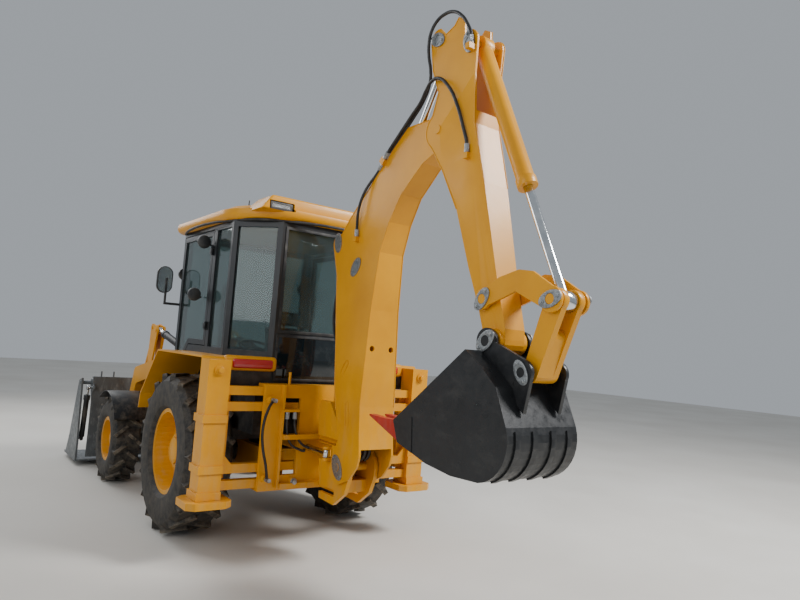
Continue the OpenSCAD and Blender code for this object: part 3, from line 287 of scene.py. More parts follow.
def concrete(name):
    """Pale, trowelled studio floor: nearly even, with slow cloudy tones and a fine sandy grain."""
    made, tree, bsdf = material(name)
    finished(tree, bsdf, (patches(tree, 0.3, 0.7, FULL, 0.5, 4.0), linear("#cfcbc3"), linear("#dad7d0")),
             patches(tree, 0.3, 0.7, (0.72, 0.85), 2.0), grain(tree, 180.0, 3.0), 0.001, 0.3)
    return made


PAINTS = {}


def paints():
    """Makes the finishes once and keeps them by name."""
    if PAINTS:
        return PAINTS
    s = bpy.context.scene.backhoe_finish
    PAINTS.update(
        yellow=enamel("yellow_enamel", tuple(s.paint), tuple(s.paint_shade)),
        dark_enamel=enamel("black_enamel", linear("#2a2c2e"), linear("#1c1d1f"), "#8a7f6f", 0.42, 0.6),
        cab_grey=enamel("grey_cab_enamel", linear("#2a2d30"), linear("#212427"), "#8b857a", 0.36, 0.2, 1.0, 2.6),
        bucket_black=worn_plate("worn_black_bucket_plate", "#202224", "#18191b", "#5c5a56", 0.1, 0.38, 0.22),
        wear_strip=worn_plate("rubbed_wear_plate", "#4c4e50", "#3a3b3d", "#8c8a86", 0.5, 0.48, 0.6),
        tooth_red=enamel("red_tooth_enamel", linear("#c4301f"), linear("#9e2417"), "#8a7f6f", 0.4, 0.4, 0.2, 2.5),
        shovel_grey=worn_plate("scoured_grey_bucket_steel", "#74787a", "#5f6365", "#a5a6a4", 0.55, 0.46, 0.6),
        chrome=chrome("hard_chrome"),
        zinc=zinc("zinc_plated_steel"),
        pin_grey=zinc("greased_pin_plate", "#74777a", 0.5),
        plastic=plastic("black_moulded_plastic", "#232527"),
        hose=hose_rubber("hydraulic_hose_rubber"),
        seal=plastic("window_seal_rubber", "#1a1b1c", 0.62, 600.0),
        glass=safety_glass("tinted_safety_glass"),
        dark_glass=smoked_glass("smoked_lower_glass"),
        red_lens=lamp_lens("red_tail_lens", "#a5101a", "#d8242c", 35.0),
        clear_lens=lamp_lens("clear_lamp_lens", "#e8ecee", "#ffffff", 45.0, 0.75),
        reflector=chrome("aluminised_reflector"),
        mirror=chrome("silvered_mirror"),
        vinyl=vinyl("black_seat_vinyl", "#35373a", "#232527"),
        vinyl_grey=vinyl("grey_seat_vinyl", "#8c9092", "#74787b"),
        cast=worn_plate("painted_cast_iron", "#3a3d40", "#2b2d30", "#7c766c", 0.2, 0.55, 0.4),
        floor=concrete("pale_trowelled_floor"),
    )
    return PAINTS


# Modelling

def nothing_selected():
    for other in bpy.context.selected_objects:
        other.select_set(False)


def lone(obj):
    """Selects one object and makes it active."""
    nothing_selected()
    obj.select_set(True)
    bpy.context.view_layer.objects.active = obj


class Editing:
    """Edit mode on one object, with the faces, edges or vertices that pass a test selected."""

    def __init__(self, obj, test, kind="FACE"):
        self.obj, self.test, self.kind = obj, test, kind

    def __enter__(self):
        lone(self.obj)
        mesh = self.obj.data
        bpy.context.tool_settings.mesh_select_mode = (self.kind == "VERT", self.kind == "EDGE",
                                                      self.kind == "FACE")
        parts = {"FACE": mesh.polygons, "EDGE": mesh.edges, "VERT": mesh.vertices}[self.kind]
        for group in (mesh.vertices, mesh.edges, mesh.polygons):
            group.foreach_set("select", [False] * len(group))
        for part in parts:
            part.select = bool(self.test(part))
        bpy.ops.object.mode_set(mode="EDIT")

    def __exit__(self, *_):
        bpy.ops.object.mode_set(mode="OBJECT")


def modify(obj, kind, **settings):
    """Adds a modifier and applies it."""
    lone(obj)
    made = obj.modifiers.new(kind.lower(), kind)
    for key, value in settings.items():
        setattr(made, key, value)
    bpy.ops.object.modifier_apply(modifier=made.name)
    return obj


def rounded(obj, width, segments=2, **limits):
    """Rounds the sharp edges."""
    return modify(obj, "BEVEL", width=width, segments=segments, limit_method="ANGLE", **limits)


def settled(obj):
    """Puts the object's place, turn and size into its mesh."""
    lone(obj)
    bpy.ops.object.transform_apply(location=True, rotation=True, scale=True)
    return obj


def painted(mesh, finish):
    """Gives a mesh one finish in place of any other."""
    mesh.materials.clear()
    mesh.materials.append(finish)


def dressed(obj, name, finish, body, angle=35):
    """Names a finished piece, gives it its finish and lets it ride on a body."""
    settled(obj)
    obj.name = name
    obj.data.name = name
    painted(obj.data, paints()[finish])
    bpy.ops.object.shade_smooth_by_angle(angle=math.radians(angle))
    if body:
        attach(obj, body)
    return obj


def joined(objs):
    """Joins pieces into the first one."""
    lone(objs[0])
    for obj in objs:
        obj.select_set(True)
    bpy.ops.object.join()
    return bpy.context.view_layer.objects.active


def facing(point, normal, up=(0, 0, 1)):
    """The place of a piece modelled along Z: on a point, its Z along a normal and its Y along up."""
    z = Vector(normal).normalized()
    x = Vector(up).cross(z).normalized()
    y = z.cross(x)
    turn = Matrix((x, y, z)).transposed().to_4x4()
    return Matrix.Translation(Vector(point)) @ turn


def spread(master, places):
    """Copies a piece to each place, each copy with its own mesh, and joins the copies."""
    made = []
    for place in places:
        copy = master.copy()
        copy.data = master.data.copy()
        bpy.context.collection.objects.link(copy)
        copy.data.transform(place)
        made.append(copy)
    bpy.data.objects.remove(master, do_unlink=True)
    return joined(made)


def block(low, high, round_by=0.004, segments=2):
    """A plate or block between two corners, with rounded edges."""
    nothing_selected()
    low, high = Vector(low), Vector(high)
    bpy.ops.mesh.primitive_cube_add(size=1, location=(low + high) / 2)
    obj = bpy.context.object
    obj.scale = high - low
    settled(obj)
    if round_by:
        rounded(obj, round_by, segments)
    return obj


def inset_faces(obj, test, width, move):
    """Draws a rim inside the faces that pass a test and moves the faces inside it."""
    with Editing(obj, test):
        bpy.ops.mesh.inset(thickness=width)
        bpy.ops.transform.translate(value=move)


def face_outwards():
    """Turns all faces of the mesh in edit mode outwards."""
    bpy.ops.mesh.select_all(action="SELECT")
    bpy.ops.mesh.normals_make_consistent(inside=False)


def turned_part(radius, depth, sides=32, inset=0.0, sink=0.0, round_by=0.002):
    """A round boss along Z from its foot at the origin, its top inset and sunk, as from a lathe."""
    nothing_selected()
    bpy.ops.mesh.primitive_cylinder_add(vertices=sides, radius=radius, depth=depth, location=(0, 0, depth / 2))
    obj = settled(bpy.context.object)
    if inset:
        inset_faces(obj, lambda f: f.normal.z > 0.9, inset, (0, 0, sink))
    return rounded(obj, round_by)


def hex_bolt(size):
    """A hex head on its washer, standing on the origin, with its size as the radius over its corners."""
    washer = turned_part(size * 1.35, 0.003, 20, 0, 0, 0.0008)
    head = turned_part(size, size * 0.8 + 0.003, 6, size * 0.22, size * 0.06, 0.0012)
    return joined([head, washer])


def hollow_plate(hole, half_wide, half_long, thick):
    """An oval plate round a hole, lying on the origin: a rim is drawn outwards from the hole's edge."""
    nothing_selected()
    bpy.ops.mesh.primitive_circle_add(vertices=40, radius=hole, fill_type="NOTHING")
    obj = bpy.context.object
    with Editing(obj, lambda e: True, "EDGE"):
        bpy.ops.mesh.extrude_edges_move(TRANSFORM_OT_translate={"value": (0, 0, 0)})
        bpy.ops.transform.resize(value=(half_wide / hole, half_long / hole, 1))
        face_outwards()
    up = sum(f.normal.z for f in obj.data.polygons) > 0
    modify(obj, "SOLIDIFY", thickness=thick, offset=1.0 if up else -1.0)
    return rounded(obj, 0.0015)


def open_frame(low, high, width, depth, round_by=0.003):
    """A rectangular frame in the plane of X and Z, from a plane that is inset and opened, then thickened."""
    nothing_selected()
    (x0, y, z0), (x1, _, z1) = low, high
    bpy.ops.mesh.primitive_plane_add(size=1, location=((x0 + x1) / 2, y, (z0 + z1) / 2),
                                     rotation=(math.pi / 2, 0, 0))
    obj = bpy.context.object
    obj.scale = (x1 - x0, z1 - z0, 1)
    settled(obj)
    with Editing(obj, lambda f: True):
        bpy.ops.mesh.inset(thickness=width)
        bpy.ops.mesh.delete(type="FACE")
    modify(obj, "SOLIDIFY", thickness=depth, offset=1.0)
    return rounded(obj, round_by)


def tube(points, radius, sides):
    """A round tube along a smooth curve through the points, as a mesh."""
    nothing_selected()
    data = bpy.data.curves.new("route", "CURVE")
    data.dimensions = "3D"
    data.bevel_depth = radius
    data.bevel_resolution = sides // 2
    data.resolution_u = 6
    data.use_fill_caps = True
    line = data.splines.new("BEZIER")
    line.bezier_points.add(len(points) - 1)
    for spot, point in zip(line.bezier_points, points):
        spot.co = point
        spot.handle_left_type = spot.handle_right_type = "AUTO"
    obj = bpy.data.objects.new("route", data)
    bpy.context.collection.objects.link(obj)
    lone(obj)
    bpy.ops.object.convert(target="MESH")
    obj = bpy.context.object
    with Editing(obj, lambda f: True):
        bpy.ops.mesh.remove_doubles(threshold=0.0001)
        bpy.ops.mesh.normals_make_consistent(inside=False)
    return obj


def ferrule(start, toward):
    """A crimped hose end on its hex swivel nut, from the port towards the hose."""
    radius = 0.0165
    place = facing(start, Vector(toward) - Vector(start), (0.1, 0.9, 0.3))
    nut = turned_part(radius * 1.12, 0.018, 6, 0.003, 0.001, 0.001)
    crimp = turned_part(radius, 0.060, 16, 0.003, -0.002, 0.0015)
    with Editing(crimp, lambda f: abs(f.normal.z) < 0.3 and f.area > 1e-5):
        bpy.ops.mesh.inset(thickness=0.0015, use_individual=True)
        bpy.ops.transform.shrink_fatten(value=-0.0012)
    obj = joined([crimp, nut])
    obj.data.transform(place)
    return obj


# What the user may change

class BackhoeFinish(bpy.types.PropertyGroup):
    """Colours and sizes of the finish"""
    paint: bpy.props.FloatVectorProperty(
        name="Paint", description="Colour of the machine's enamel", subtype="COLOR", size=4, min=0, max=1,
        default=linear("#e09c0a"))
    paint_shade: bpy.props.FloatVectorProperty(
        name="Paint shade", description="Colour of the enamel's darker patches", subtype="COLOR", size=4, min=0,
        max=1, default=linear("#cf8c06"))
    hose_radius: bpy.props.FloatProperty(
        name="Hose radius", description="Radius of the hydraulic hoses over the dipper's pivot",
        default=0.012, min=0.008, max=0.016, unit="LENGTH")
    edge_round: bpy.props.FloatProperty(
        name="Edge rounding", description="Width of the rounded edges on the welded plates",
        default=0.004, min=0.001, max=0.008, unit="LENGTH")
    weld_radius: bpy.props.FloatProperty(
        name="Weld bead", description="Radius of the weld beads along the boom and the dipper",
        default=0.0045, min=0.002, max=0.008, unit="LENGTH")
    floor_size: bpy.props.FloatProperty(
        name="Floor", description="Side of the studio floor", default=60.0, min=20.0, unit="LENGTH")


# Camera and stage

class BACKHOE_OT_stage(bpy.types.Operator):
    """Set up the pale floor, the soft lights and the camera at the photograph's angle"""
    bl_idname = "backhoe.stage"
    bl_label = "Camera and stage"

    def execute(self, context):
        yaw, pitch, roll = (math.radians(a) for a in (CAMERA_YAW, CAMERA_PITCH, CAMERA_ROLL))
        ahead = Vector((math.sin(yaw) * math.cos(pitch), math.cos(yaw) * math.cos(pitch), math.sin(pitch)))
        right = Vector((math.cos(yaw), -math.sin(yaw), 0))
        up = right.cross(ahead)
        across = math.cos(roll) * right + math.sin(roll) * up
        upward = -math.sin(roll) * right + math.cos(roll) * up
        data = bpy.data.cameras.new("camera")
        data.sensor_width = 36.0
        data.lens = CAMERA_LENS
        data.clip_start, data.clip_end = 0.05, 200.0
        camera = bpy.data.objects.new("camera", data)
        context.collection.objects.link(camera)
        turn = Matrix((across, upward, -ahead)).transposed().to_4x4()
        camera.matrix_world = Matrix.Translation(CAMERA_AT) @ turn
        context.scene.camera = camera

        nothing_selected()
        bpy.ops.mesh.primitive_plane_add(size=context.scene.backhoe_finish.floor_size, location=(0, 0, 0))
        floor = dressed(context.object, "studio_floor", "floor", None)
        world = bpy.data.worlds.new("studio")
        context.scene.world = world
        world.use_nodes = True
        world.node_tree.nodes["Background"].inputs[0].default_value = linear("#dfe6ee")
        world.node_tree.nodes["Background"].inputs[1].default_value = 0.5
        for name, place, size, watts in LIGHTS:
            light = bpy.data.lights.new(name, "AREA")
            light.size, light.energy = size, watts
            lamp = bpy.data.objects.new(name, light)
            context.collection.objects.link(lamp)
            aim = (Vector(place) - LIGHTS_AIM).to_track_quat("Z", "Y").to_matrix().to_4x4()
            lamp.matrix_world = Matrix.Translation(place) @ aim
        return {"FINISHED"}


# Finishes of the fixed frame

FINISHES = {
    "yellow": ["chassis_frame", "rear_frame", "wings", "hood", "loader_arms", "tip_levers", "tip_links",
               "lift_ram_barrels", "carriage", "left_leg", "right_leg", "kingpost", "boom", "boom_ram_barrel",
               "dipper", "dipper_ram_barrel", "side_links", "tipping_link", "bucket_ram_barrel", "cab_roof"],
    "dark_enamel": ["rear_axle", "front_axle", "front_grille", "side_tanks", "left_knuckle",
                    "right_knuckle", "tip_ram_barrels", "jaw_ram_barrels"],
    "plastic": ["cab_tub", "mirrors", "steering_column"],
    "cab_grey": ["cab_frame", "left_door", "right_door"],
    "bucket_black": ["digging_bucket"],
    "shovel_grey": ["shovel_back", "shovel_jaw"],
    "chrome": ["tip_ram_rods", "lift_ram_rods", "jaw_ram_rods", "left_slew_rod", "right_slew_rod",
               "boom_ram_rod", "dipper_ram_rod", "bucket_ram_rod"],
    "zinc": ["tie_rod"],
    "cast": ["engine_block", "exhaust_stack"],
    "glass": ["cab_glass", "left_door_glass", "right_door_glass"],
    "red_lens": ["tail_lamps"],
    "reflector": ["work_lamps"],
    "hose": ["boom_hoses", "carriage_hose"],
    "vinyl": ["seat"],
}
# Wheel nodes with their hub's place, the radius of the rim's lip, and the tyre's radius
WHEELS = {
    "rear_left_wheel": (-860, 0, 705, 0.3761, 0.705),
    "rear_right_wheel": (860, 0, 705, 0.3761, 0.705),
    "front_left_wheel": (-905, 2180, 485, 0.2491, 0.485),
    "front_right_wheel": (905, 2180, 485, 0.2491, 0.485),
}


# Pins whose ends show: node, place along and up, and the half width at a height that they stand out from
PIN_FACES = [
    ("boom", -1500, 2400, boom_half), ("boom", -1180, 2630, boom_half),
    ("dipper", -2720, 3870, dipper_half), ("dipper", -2385, 4000, dipper_half),
    ("kingpost", -1520, 800, lambda z: 0.160),
]


def near_pin(y, z, half):
    """Picks the faces of a pin across the machine that stand out past a half width by 2 mm."""
    spot = at(0, y, z)
    return lambda c, n: math.hypot(c.y - spot.y, c.z - spot.z) < 0.033 and abs(c.x) > half(c.z) + 0.002


def second_finish(node, finish, test):
    """Gives a second finish to the faces of a node that pass a test of their centre and normal."""
    mesh = NODES[node].data
    mesh.materials.append(paints()[finish])
    slot = len(mesh.materials) - 1
    for face in mesh.polygons:
        if test(face.center, face.normal):
            face.material_index = slot


class BACKHOE_OT_finishes(bpy.types.Operator):
    """Give every part of the fixed frame its finish and round the welded plates' edges"""
    bl_idname = "backhoe.finishes"
    bl_label = "Finishes of the frame"

    def execute(self, context):
        for finish, names in FINISHES.items():
            for name in names:
                painted(NODES[name].data, paints()[finish])
        for name, (x, y, z, lip, radius) in WHEELS.items():
            centre = at(x, y, z)
            painted(NODES[name].data, tyre_rubber(name + "_rubber", centre, radius))
            second_finish(name, "yellow", lambda c, n, o=centre, r=lip: math.hypot(c.y - o.y, c.z - o.z) < r)
        missing = set(NODES) - set(WHEELS) - {name for names in FINISHES.values() for name in names}
        if missing:
            raise RuntimeError("no finish for " + ", ".join(sorted(missing)))
        for node, y, z, half in PIN_FACES:
            second_finish(node, "zinc", near_pin(y, z, half))
        # Five teeth, 135 mm apart, stand out from the lip; the wear strips lie outside the shell's round back
        teeth = [(i - 2) * 0.135 for i in range(5)]
        lip_y = at(0, -2404, 0).y
        second_finish("digging_bucket", "tooth_red",
                      lambda c, n: c.y > lip_y and any(abs(c.x - x) < 0.0285 for x in teeth))
        bowl = at(0, -3190, 1290)
        second_finish("digging_bucket", "wear_strip",
                      lambda c, n: math.hypot(c.y - bowl.y, c.z - bowl.z) > 0.2615
                      and c.z < 1.30 and c.y < bowl.y + 0.02)
        second_finish("front_grille", "clear_lens", lambda c, n: n.y > 0.9 and c.y > at(0, 2545, 0).y)
        for name, obj in NODES.items():
            if "glass" in name or name in ("boom_hoses", "carriage_hose"):
                continue
            weld = obj.modifiers.new("weld", "WELD")
            weld.merge_threshold = 0.0001
            flat = obj.modifiers.new("flat", "DECIMATE")
            flat.decimate_type = "DISSOLVE"
            flat.angle_limit = math.radians(0.4)
            flat.delimit = {"MATERIAL"}
            edge = obj.modifiers.new("edge", "BEVEL")
            edge.width = context.scene.backhoe_finish.edge_round
            edge.segments = 2
            edge.limit_method = "ANGLE"
            edge.angle_limit = math.radians(28)
            edge.harden_normals = True
        return {"FINISHED"}


# Hoses

# Routes over the dipper's pivot, each point as drawn: across, along and up, in millimetres
TOP_ROUTE = [
    (-80, -1771.4, 3255.2), (-80, -1842, 3320), (-80, -1960, 3415), (-80, -2080, 3511), (-84, -2200, 3615),
    (-92, -2268, 3720), (-112, -2292, 3815), (-142, -2300, 3900), (-158, -2310, 3985), (-160, -2330, 4065),
    (-158, -2385, 4128), (-157, -2470, 4150), (-156, -2560, 4135), (-155, -2650, 4075), (-154, -2720, 3985),
    (-154, -2762, 3900), (-154, -2770, 3831),
]
SIDE_ROUTE = [
    (-106, -1771.4, 3255.2), (-106, -1842, 3320), (-106, -1960, 3415), (-106, -2080, 3511),
    (-108, -2190, 3592), (-128, -2275, 3655), (-146, -2350, 3692), (-156, -2445, 3690), (-153, -2562, 3595),
    (-149, -2659, 3441), (-143, -2730, 3270), (-133, -2766, 3150), (-130, -2770, 3091),
]
# The four hoses in the boom's foot: their route along and up, from the boom down to the kingpost, where they lie
# across, and their radius
FOOT_ROUTE = [(-1545, 1190), (-1600, 1090), (-1622, 985), (-1602, 895), (-1560, 858)]
FOOT_ACROSS, FOOT_RADIUS = (-66, -23, 23, 66), 0.017


class BACKHOE_OT_hoses(bpy.types.Operator):
    """Lay the hydraulic hoses over the dipper's pivot and screw their ends on"""
    bl_idname = "backhoe.hoses"
    bl_label = "Hoses and their ends"

    def execute(self, context):
        radius = context.scene.backhoe_finish.hose_radius
        for name, route in (("dipper_hose_top", TOP_ROUTE), ("dipper_hose_side", SIDE_ROUTE)):
            hose = dressed(tube([at(*p) for p in route], radius, 12), name, "hose", None, 60)
            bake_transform(hose)
        ends = {"boom": [], "dipper": [], "carriage": []}
        slew = []
        for side in (-1, 1):
            for step in (0, 1):
                x, drop = 330 + 70 * step, 30 * step
                route = [(x, -1066, 1179.7), (x, -1068, 1130), (x - 8, -1076, 1040 - drop),
                         (x - 45, -1082, 950 - drop), (x - 100 - drop, -1084, 900 - drop),
                         (x - 150 - drop, -1072, 885 - drop), (185 + 22 * step, -1048, 892 - drop)]
                slew.append(tube([at(side * a, b, c) for a, b, c in route], radius * 0.85, 12))
                ends["carriage"].append(ferrule(at(side * x, -1066, 1179.6), at(side * x, -1068, 1130)))
        dressed(joined(slew), "slew_hoses", "hose", "carriage", 60)
        foot = [tube([at(x, y, z) for y, z in FOOT_ROUTE], FOOT_RADIUS, 12) for x in FOOT_ACROSS]
        foot = dressed(joined(foot), "boom_foot_hoses", "hose", None, 60)
        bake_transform(foot)
        for route in (TOP_ROUTE, SIDE_ROUTE):
            ends["boom"].append(ferrule(at(*route[0]), at(*route[1])))
            ends["dipper"].append(ferrule(at(*route[-1]), at(*route[-2])))
        for start, after in (((-92, -1734.2, 3220.9), (-92, -1653.5, 3146.3)),
                             ((-132, -1490, 2650.3), (-134, -1490, 2750)),
                             ((-82, -1304.7, 2310), (-82, -1262, 2310)),
                             ((-82, -1339.7, 1735), (-82, -1262, 1735))):
            ends["boom"].append(ferrule(at(*start), at(*after)))
        for z in (1275, 640):
            ends["carriage"].append(ferrule(at(-550, -1082.5, z), at(-550, -1098, z)))
        for body, pieces in ends.items():
            dressed(joined(pieces), body + "_hose_ends", "zinc", body, 30)
        return {"FINISHED"}


# Welds

def outer_edges(node, keep):
    """The sharp edges of a node whose middles pass a test, as a wire mesh made from a merged copy."""
    wire = NODES[node].copy()
    wire.data = wire.data.copy()
    wire.parent = None
    wire.modifiers.clear()
    bpy.context.collection.objects.link(wire)
    with Editing(wire, lambda f: True):
        bpy.ops.mesh.remove_doubles(threshold=0.0001)
        bpy.ops.mesh.dissolve_limited(angle_limit=math.radians(1))
    shape = bmesh.new()
    shape.from_mesh(wire.data)
    shape.edges.ensure_lookup_table()
    sharp = {e.index for e in shape.edges if len(e.link_faces) == 2 and e.calc_length() > 0.012
             and e.calc_face_angle() > math.radians(40) and keep((e.verts[0].co + e.verts[1].co) / 2)}
    shape.free()
    with Editing(wire, lambda e: e.index not in sharp, "EDGE"):
        bpy.ops.mesh.delete(type="EDGE")
    with Editing(wire, lambda f: True):
        bpy.ops.mesh.delete(type="ONLY_FACE")
    return wire


class BACKHOE_OT_welds(bpy.types.Operator):
    """Lay the weld beads along the outer edges of the boom and the dipper"""
    bl_idname = "backhoe.welds"
    bl_label = "Weld beads"

    def execute(self, context):
        for node, half, low in (("boom", boom_half, 0), ("dipper", dipper_half, DIPPER_WELD_FOOT)):
            wire = outer_edges(node, lambda m, h=half, foot=low: m.z > foot and abs(abs(m.x) - h(m.z)) < 0.004)
            lone(wire)
            bpy.ops.object.convert(target="CURVE")
            wire = context.object
            wire.data.bevel_depth = context.scene.backhoe_finish.weld_radius
            wire.data.bevel_resolution = 2
            lone(wire)
            bpy.ops.object.convert(target="MESH")
            dressed(context.object, node + "_welds", "yellow", node, 60)
        return {"FINISHED"}


# Pins, plates and bolts

# Pin ends: body, place along and up in millimetres, half width in metres, hole's radius, half sizes of the plate,
# and the plate's long direction along and up
PIN_ENDS = [
    ("boom", -1520, 800, 0.1612, 0.0335, 0.062, 0.105, (0.55, 0.83)),
    ("boom", -1180, 2630, boom_half(2.63) + OFF_FACE, 0.0335, 0.052, 0.088, (0.2, 1.0)),
    ("boom", -1500, 2400, boom_half(2.40) + OFF_FACE, 0.0335, 0.052, 0.088, (-0.6, 0.8)),
    ("dipper", -2720, 3870, dipper_half(3.87) + OFF_FACE, 0.0335, 0.052, 0.082, (0.3, 1.0)),
    ("dipper", -2385, 4000, dipper_half(4.0) + OFF_FACE, 0.0335, 0.050, 0.078, (0.9, 0.4)),
    ("side_links", -3540, 2100, 0.1282, 0.0315, 0.048, 0.082, (0.9, -0.3)),
    ("side_links", -3000, 2110, 0.1282, 0.0315, 0.048, 0.082, (-0.6, 0.8)),
    ("digging_bucket", -3390, 1680, 0.1642, 0.0290, 0.046, 0.078, (0.5, 0.85)),
    ("digging_bucket", -3090, 1850, 0.1642, 0.0335, 0.052, 0.086, (-0.7, 0.6)),
]
EIGHTHS = [i * math.tau / 8 for i in range(8)]


class BACKHOE_OT_pins(bpy.types.Operator):
    """Fit the pins' keeper plates, their bolts and the wheels' nuts"""
    bl_idname = "backhoe.pins"
    bl_label = "Pin plates, bolts and wheel nuts"

    def execute(self, context):
        plates, bolts = {}, {}
        for body, y, z, half, hole, wide, long, (ay, az) in PIN_ENDS:
            along = Vector((0, ay, az)).normalized()
            for side in (-1, 1):
                spot = at(0, y, z) + Vector((side * half, 0, 0))
                plate = hollow_plate(hole, wide, long, KEEPER)
                plate.data.transform(facing(spot, (side, 0, 0), along))
                plates.setdefault(body, []).append(plate)
                for end in (-1, 1):
                    top = spot + end * (long - 0.022) * along + Vector((side * KEEPER, 0, 0))
                    bolts.setdefault(body, []).append(facing(top, (side, 0, 0), along))
        for body, pieces in plates.items():
            dressed(joined(pieces), body + "_pin_plates", "pin_grey", body)
        for body, places in bolts.items():
            dressed(spread(hex_bolt(0.010), places), body + "_pin_bolts", "zinc", body)
        places = [facing(at(side * 300, -1083, 608), (0, -1, 0)) for side in (-1, 1)]
        places += [facing(at(550, -1083, z), (0, -1, 0)) for z in (640, 1275)]
        dressed(spread(hex_bolt(0.022), places), "carriage_clamp_bolts", "zinc", "carriage")
        places = [facing(at(side * 1000, -1054.2, 1500), (0, -1, 0)) for side in (-1, 1)]
        dressed(spread(hex_bolt(0.024), places), "leg_housing_bolts", "yellow", "chassis")
        # The weld seams round two slots on each side of the boom, drawn from a ring whose halves move apart
        slots = []
        for y, z, half, (ay, az) in ((-1600, 1225, 0.1612, (0.12, 1.0)),
                                     (-1480, 1560, boom_half(1.56) + OFF_FACE, (-0.7, 1.0))):
            for side in (-1, 1):
                slot = hollow_plate(0.020, 0.026, 0.026, 0.003)
                for end in (1, -1):
                    with Editing(slot, lambda v, e=end: v.co.y * e > 0.001, "VERT"):
                        bpy.ops.transform.translate(value=(0, 0.075 * end, 0))
                slot.data.transform(facing(at(0, y, z) + Vector((side * half, 0, 0)), (side, 0, 0), (0, ay, az)))
                slots.append(slot)
        dressed(joined(slots), "boom_slot_welds", "yellow", "boom")
        for name, (x, y, z, _, radius) in WHEELS.items():
            side = 1 if x > 0 else -1
            rear = radius > 0.6
            hub = at(x, y, z)
            # How far out the rim's disc lies, the nuts' circle, and the hub cover's radius and foot
            disc, ring, boss, out = (0.0252, 0.186, 0.118, 0.0802) if rear else (0.0152, 0.123, 0.080, 0.0502)
            nuts = [facing(hub + Vector((side * disc, ring * math.sin(a), ring * math.cos(a))), (side, 0, 0))
                    for a in EIGHTHS]
            dressed(spread(hex_bolt(0.016 if rear else 0.013), nuts), name + "_nuts", "zinc", name)
            cover = turned_part(boss, 0.022, 40, boss * 0.42, 0.012, 0.004)
            small = [facing((boss * 0.82 * math.sin(a), boss * 0.82 * math.cos(a), 0.0205), (0, 0, 1), (0, 1, 0))
                     for a in EIGHTHS]
            cover = joined([cover, spread(hex_bolt(0.007), small)])
            cover.data.transform(facing(hub + Vector((side * out, 0, 0)), (side, 0, 0)))
            dressed(cover, name + "_hub_cover", "yellow", name)
        return {"FINISHED"}


# Cab

